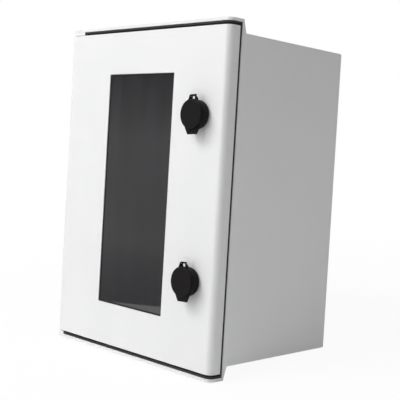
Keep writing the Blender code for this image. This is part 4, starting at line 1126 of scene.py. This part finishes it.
def makeCoverModel():
    base = -cover["base"]
    piece = slab("coverModel", coverOutline(), alongY, base, base - cover["flange"])
    cap = bar(
        "cap", cover["capRadius"], (0, base - cover["flange"] / 2, 0),
        (0, -cover["top"], 0), sides=72)
    bevelEdges(
        cap, lambda edge: middleOf(edge).y < -cover["top"] + fitGap, cover["rounding"], segments=4)
    hollow = bar(
        "hollow", lock["wellRadius"], (0, base + past, 0),
        (0, -cover["top"] + cover["skin"], 0), sides=48)
    unite(piece, cap)
    carve(piece, hollow)
    inside = cover["baseKnuckle"] + cover["knuckleGap"]
    outside = inside + cover["knuckleLength"]
    y, z = -cover["knuckleLevel"], cover["earReach"]

    def outerEdge(edge):
        across = abs(edge.verts[0].co.x - edge.verts[1].co.x)
        return abs(middleOf(edge).x) > outside - fitGap and across < fitGap
    for side in (-1, 1):
        knuckle = bar(
            "knuckle", cover["knuckleRadius"], (side * inside, y, z), (side * outside, y, z),
            sides=24)
        bevelEdges(knuckle, outerEdge, cover["knuckleRounding"], segments=4)
        unite(piece, knuckle)
    carve(piece, bar(
        "pinHole", cover["pinRadius"] + pinGap, (-2 * outside, y, z), (2 * outside, y, z),
        sides=16))
    soften(piece, cover["softening"], segments=2)
    return dress(piece, blackPlastic)


def makeBaseModel():
    shank, end, pitch = lock["shankRadius"], lock["shankEnd"], lock["threadPitch"]
    deep = shank - lock["threadDepth"]
    level = lock["nutTop"] + lock["threadStart"]
    thread = []
    while level > end + pitch:  # rings of the nut's thread
        thread += [(shank, level), (deep, level - pitch / 2)]
        level -= pitch
    bore, well = lock["coreRadius"] + pinGap, lock["wellRadius"]
    drum, base, top = lock["drumRadius"], lock["drumBase"], lock["drumTop"]
    edge, roundEdge, foot = lock["drumEdge"], lock["drumRound"], lock["drumFoot"]
    chamfer = lock["shankChamfer"]
    profile = [
        (bore, lock["wellFloor"]), (well, lock["wellFloor"]), (well, top - edge),
        (well + edge, top), (drum - roundEdge, top), (drum - edge, top - edge),
        (drum, top - roundEdge), (drum, base + foot), (drum - foot, base), (shank, base),
    ] + thread + [
        (deep, end + chamfer), (deep - chamfer, end), (bore, end),
    ]
    piece = lathe("baseModel", profile, steps=72, closed=True)
    knuckleHalf, reach = cover["baseKnuckle"], cover["earReach"]
    earTop = reach - cover["knuckleRadius"]
    shoulder = earTop - fitGap
    root = (well + drum) / 2
    earOut = knuckleHalf + cover["knuckleGap"] + cover["knuckleLength"]
    right = [
        (cover["earRoot"], root), (earOut, shoulder), (knuckleHalf, shoulder), (knuckleHalf, reach)]
    outline = right + [(-x, z) for x, z in reversed(right)]
    ear = slab("ear", outline, alongY, -top + cover["earOverlap"], -top + cover["earThickness"])
    y, z = -cover["knuckleLevel"], reach
    knuckle = bar(
        "baseKnuckle", cover["knuckleRadius"], (-knuckleHalf, y, z), (knuckleHalf, y, z), sides=24)
    eye = block(
        "eye", (-cover["eyeHalf"], -top - past, drum),
        (cover["eyeHalf"], -top + 2 * cover["earThickness"], earTop))
    bevelEdges(eye, lambda edge: runsAlong(edge, alongY), cover["eyeCorner"], segments=4)

    def earCorner(edge):
        return runsAlong(edge, alongY) and abs(middleOf(edge).x) > knuckleHalf + fitGap
    bevelEdges(ear, earCorner, cover["earCorner"], segments=5)
    bevelEdges(knuckle, lambda edge: True, cover["baseKnuckleRounding"], segments=2)
    unite(piece, ear, knuckle)
    tidyMesh(piece)  # before the eye, which a merged face would close
    carve(piece, eye, bar(
        "pinHole", cover["pinRadius"] + pinGap, (-2 * knuckleHalf, y, z),
        (2 * knuckleHalf, y, z), sides=16))
    return dress(piece, blackPlastic)


def makeCoverPinModel():
    outside = cover["baseKnuckle"] + cover["knuckleGap"] + cover["knuckleLength"]
    radius, chamfer = cover["pinRadius"], cover["pinChamfer"]
    pin = lathe("pinModel", [
        (0, -outside), (radius - chamfer, -outside), (radius, -outside + chamfer),
        (radius, outside - chamfer), (radius - chamfer, outside), (0, outside),
    ], axis=(0, 0, 1), steps=24)
    middle = Matrix.Translation((0, -cover["knuckleLevel"], cover["earReach"]))
    placeAt(pin, middle @ Matrix.Rotation(math.pi / 2, 4, "Y"))
    return dress(pin, screwSteel)


def makeCoreModel():
    headRadius = lock["wellRadius"] - fitGap
    headBase = lock["wellFloor"] + fitGap
    radius, end, top, edge = (
        lock[size] for size in ("coreRadius", "shankEnd", "coreTop", "coreEdge"))
    ringIn, floorIn, floorOut, ringOut = (headRadius - step for step in lock["coreRing"])
    core = lathe("coreModel", [
        (0, top), (ringIn, top), (floorIn, top - edge), (floorOut, top - edge), (ringOut, top),
        (headRadius - edge, top), (headRadius, top - edge), (headRadius, headBase),
        (radius, headBase), (radius, end), (0, end),
    ], steps=64)
    half = lock["square"] / 2
    square = block(
        "square", (-half, -end - fitGap, -half), (half, -lock["camBase"] - fitGap, half))
    bevelEdges(square, lambda edge: runsAlong(edge, alongY), lock["squareEdge"], segments=2)
    unite(core, square)
    triangle = arcPoints((0, 0), lock["keyRadius"], 90, 330, steps=2)
    key = slab("key", triangle, alongY, -top - past, -top + lock["keyDepth"])
    bevelEdges(key, lambda edge: runsAlong(edge, alongY), lock["keyEdge"], segments=3)
    thread = bar(
        "coreThread", camScrew["radius"] + pinGap, (0, -lock["camBase"] + past, 0),
        (0, -lock["camBase"] - lock["camScrewReach"], 0), sides=24)
    carve(core, key, thread)
    soften(core, lock["coreSoftening"], segments=2)
    return dress(core, castZinc)


def makeCamModel():
    half = lock["camWidth"] / 2
    foot = math.degrees(math.asin(half / lock["hubRadius"]))
    hub = arcPoints((0, 0), lock["hubRadius"], 90 + foot, 450 - foot, steps=30)
    corner = lock["camCorner"]
    end = arcPoints((half - corner, lock["camReach"] - corner), corner, 0, 90, steps=4)
    outline = hub + end + [(-x, z) for x, z in reversed(end)]
    cam = slab("camModel", outline, alongY, -lock["camTop"], -lock["camBase"])
    hole = lock["square"] / 2 + pinGap
    carve(cam, block(
        "camHole", (-hole, -lock["camTop"] - past, -hole), (hole, -lock["camBase"] + past, hole)))
    soften(cam, lock["softening"])
    return dress(cam, galvanised)


def makeNutModel():
    flat, top, base = lock["nutFlats"] / 2, lock["nutTop"], lock["nutBase"]
    face, chamfer = lock["nutFace"], lock["nutChamfer"]
    corner = flat / math.cos(math.radians(30))
    hexagon = slab("nutModel", arcPoints((0, 0), corner, 30, 330, steps=5), alongY, -top, -base)
    trim = lathe("nutTrim", [  # turned shape that takes the nut's corners down
        (0, top + past), (flat - face, top + fitGap), (corner + past, top - chamfer),
        (corner + past, base + chamfer), (flat - face, base - fitGap), (0, base - past),
    ], steps=64)
    modify(hexagon, "BOOLEAN", operation="INTERSECT", solver="EXACT", object=trim)
    bpy.data.objects.remove(trim)
    carve(hexagon, bar(
        "nutBore", lock["shankRadius"] + pinGap, (0, -top - past, 0), (0, -base + past, 0),
        sides=64))
    soften(hexagon, lock["softening"])
    return dress(hexagon, blackPlastic)


def makeLockSealModel():
    bore = lock["shankRadius"] + pinGap
    radius, top, base, edge = (
        lock[size] for size in ("sealRadius", "sealTop", "sealBase", "sealEdge"))
    seal = lathe("lockSealModel", [
        (bore, top), (radius - edge, top), (radius, top - edge), (radius, base + edge),
        (radius - edge, base), (bore, base),
    ], steps=64, closed=True)
    return dress(seal, blackRubber)


def makeLocks():
    screw = makeScrew("camScrewModel", camScrew, lock["camScrewReach"] - fitGap)
    seatLevel = lock["camBase"] - fitGap
    models = (
        (makeLockSealModel(), "LockSeal", "lock_seal", "door", "black_rubber"),
        (makeBaseModel(), "LockBase", "lock_base", "door", "black_plastic"),
        (makeCoverPinModel(), "CoverPin", "cover_pin", "door", "steel"),
        (makeNutModel(), "LockNut", "lock_nut", "door", "black_plastic"),
        (makeCoreModel(), "LockCore", "lock_core", "core", "zinc_cast"),
        (makeCamModel(), "LockCam", "lock_cam", "core", "zinc_plate"),
        (screw, "CamScrew", "cam_screw", "core", "steel"),
        (makeCoverModel(), "LockCover", "lock_cover", "cover", "black_plastic"),
    )
    for lockName in lockNames:
        middle = centreOf(f"{lockName}_lock_seal")
        place = (
            Matrix.Translation((middle.x, doorLow.y, middle.z))
            @ Matrix.Rotation(math.radians(-lock["turn"]), 4, "Y"))
        for model, name, node, body, slotName in models:
            spot = place @ facingBack((0, -seatLevel, 0)) if model == screw else place
            piece = copyTo(model, f"{lockName}{name}", spot)
            carrier = "door" if body == "door" else f"{lockName}_{body}"
            fit(piece, carrier, slotName, f"{lockName}_{node}")
    for entry in models:
        bpy.data.objects.remove(entry[0])


for make in (
        makeBodyShell, makeHinge, makeDoorGasket, makeDoorShell, makeWindowPane,
        makeWindowSeal, makeWindowFrame, makeWindowScrews, makePlate, makePlateFasteners,
        makeWallPlugs, makeKeepers, makeLocks):
    make()
    print("made:", make.__name__)


# The studio: a pale table that the box leans back on, a soft key lamp from the upper left,
# a narrow strip lamp in front, and the camera

studio = {
    "footY": -0.1835, "backEdgeZ": -0.1875, "tableSize": 8.0, "tableDrop": 0.0005,
    "paper": 0.93, "paperSeen": 0.98, "glow": {"low": 0.93, "high": 1.0},
    "glowReach": {"low": 0, "high": 1, "start": 0.3, "end": 0.9},
    "ambient": 0.36, "horizonGloss": 0.5, "wallGloss": 0.22, "footGloss": 0.28, "zenithGloss": 0.9,
    "glossReach": {"start": 0.8, "end": 3.5},  # from the foot of the box to the far table
    "wallHeight": {"start": 0.01, "end": 0.08}, "zenithHeight": {"start": 0.1, "end": 0.7},
    # beyond this line the table is darker in mirrors, which gives the pale wedge low in the window
    "tableEdgePoint": (-0.497, -0.615), "tableEdgeNormal": (-0.889, -0.457), "tableEdgeBlur": 0.004,
    "aim": (0, -0.2, 0),
    "keyPlace": (-0.9, -1.85, 1.9), "keySize": (1.2, 1.2), "keyPower": 39.5,
    "stripPlace": (-0.22, -2.2, 0.5), "stripSize": (0.25, 1.6), "stripPower": 11,
}


def lamp(name, place, size, power):
    bpy.ops.object.light_add(type="AREA", location=place)
    light = bpy.context.object
    light.name = name
    towards = Vector(studio["aim"]) - Vector(place)
    light.rotation_euler = towards.to_track_quat("-Z", "Y").to_euler()
    light.data.shape = "RECTANGLE"
    light.data.size, light.data.size_y = size
    light.data.energy = power


def makeTable():
    slope = (studio["backEdgeZ"] - bodyLow.z) / -studio["footY"]
    bpy.ops.mesh.primitive_plane_add(size=studio["tableSize"], location=(0, 0, 0))
    table = settle("table")
    openEdit(table, "VERT", lambda vertex: True)
    bpy.ops.transform.translate(value=(0, 0, bodyLow.z))
    closeEdit()
    for vertex in table.data.vertices:
        vertex.co.z += (vertex.co.y - studio["footY"]) * slope - studio["tableDrop"]
    material, board, shader = newFinish("tableWhite")
    board.tree.nodes.remove(shader)
    ray = board.node("ShaderNodeLightPath", {}, {}, "Is Camera Ray")
    mirror = board.node("ShaderNodeLightPath", {}, {}, "Is Glossy Ray")
    spot = board.spot()
    point, normal = studio["tableEdgePoint"], studio["tableEdgeNormal"]
    edge = board.node(
        "ShaderNodeVectorMath", {"operation": "DOT_PRODUCT"}, {0: spot, 1: (*normal, 0.0)}, "Value")
    limit = sum(a * b for a, b in zip(point, normal))
    blur = studio["tableEdgeBlur"]
    nearTable = 1 - board.span(edge, 0, 1, limit - blur, limit + blur)
    distance = board.node("ShaderNodeVectorMath", {"operation": "LENGTH"}, {0: spot}, "Value")
    farAway = board.span(distance, **studio["glowReach"])
    paper = board.node("ShaderNodeBsdfDiffuse", {}, {"Color": grey(studio["paper"])})
    paperSeen = board.node("ShaderNodeBsdfDiffuse", {}, {"Color": grey(studio["paperSeen"])})
    glow = board.node("ShaderNodeEmission", {}, {"Color": grey(1.0), "Strength": 1.0})
    seen = board.node("ShaderNodeMixShader", {}, {
        0: board.span(farAway, **studio["glow"]), 1: paperSeen, 2: glow})
    far = board.span(
        distance, studio["footGloss"], studio["horizonGloss"], **studio["glossReach"])
    mirrored = board.node("ShaderNodeEmission", {}, {
        "Color": grey(1.0), "Strength": far + nearTable * (1 - far)})
    first = board.node("ShaderNodeMixShader", {}, {0: mirror, 1: paper, 2: mirrored})
    both = board.node("ShaderNodeMixShader", {}, {0: ray, 1: first, 2: seen})
    board.plug(board.tree.nodes["Material Output"].inputs["Surface"], both)
    table.data.materials.append(material)


def makeSky():
    world = bpy.data.worlds.new("studioSky")
    bpy.context.scene.world = world
    board = Board(world)
    background = board.tree.nodes["Background"]
    ray = board.node("ShaderNodeLightPath", {}, {}, "Is Camera Ray")
    mirror = board.node("ShaderNodeLightPath", {}, {}, "Is Glossy Ray")
    direction = board.node("ShaderNodeTexCoord", {}, {}, "Generated")
    height = board.node("ShaderNodeSeparateXYZ", {}, {0: direction}, "Z")
    wall = studio["wallGloss"]
    reflected = board.span(height, studio["horizonGloss"], wall, **studio["wallHeight"])
    reflected += board.span(height, 0, studio["zenithGloss"] - wall, **studio["zenithHeight"])
    ambient = studio["ambient"]
    strength = mirror * (reflected - ambient) + ambient
    board.plug(background.inputs["Strength"], ray * (1 - strength) + strength)
    background.inputs["Color"].default_value = grey(1.0)


camera = {  # matched on the corners of the door, the body and the flanges; turns in degrees
    "place": (0.88533, -0.93226, 0.05535), "yaw": 46.764, "pitch": -1.997, "roll": 3.340,
    "lens": 83.24, "shiftX": 0.0055, "shiftY": -0.0438,
}


def makeCamera():
    bpy.ops.object.camera_add(location=camera["place"])
    view = bpy.context.object
    yaw, pitch, roll = (math.radians(camera[turn]) for turn in ("yaw", "pitch", "roll"))
    turn = (
        Matrix.Rotation(yaw, 3, "Z") @ Matrix.Rotation(math.pi / 2 + pitch, 3, "X")
        @ Matrix.Rotation(roll, 3, "Z"))
    view.rotation_euler = turn.to_euler()
    view.data.lens = camera["lens"]
    view.data.shift_x = camera["shiftX"]
    view.data.shift_y = camera["shiftY"]
    bpy.context.scene.camera = view


makeTable()
makeSky()
lamp("keyLight", studio["keyPlace"], studio["keySize"], studio["keyPower"])
lamp("frontStrip", studio["stripPlace"], studio["stripSize"], studio["stripPower"])
makeCamera()
bpy.context.scene.view_settings.view_transform = "Standard"
print("studio made")
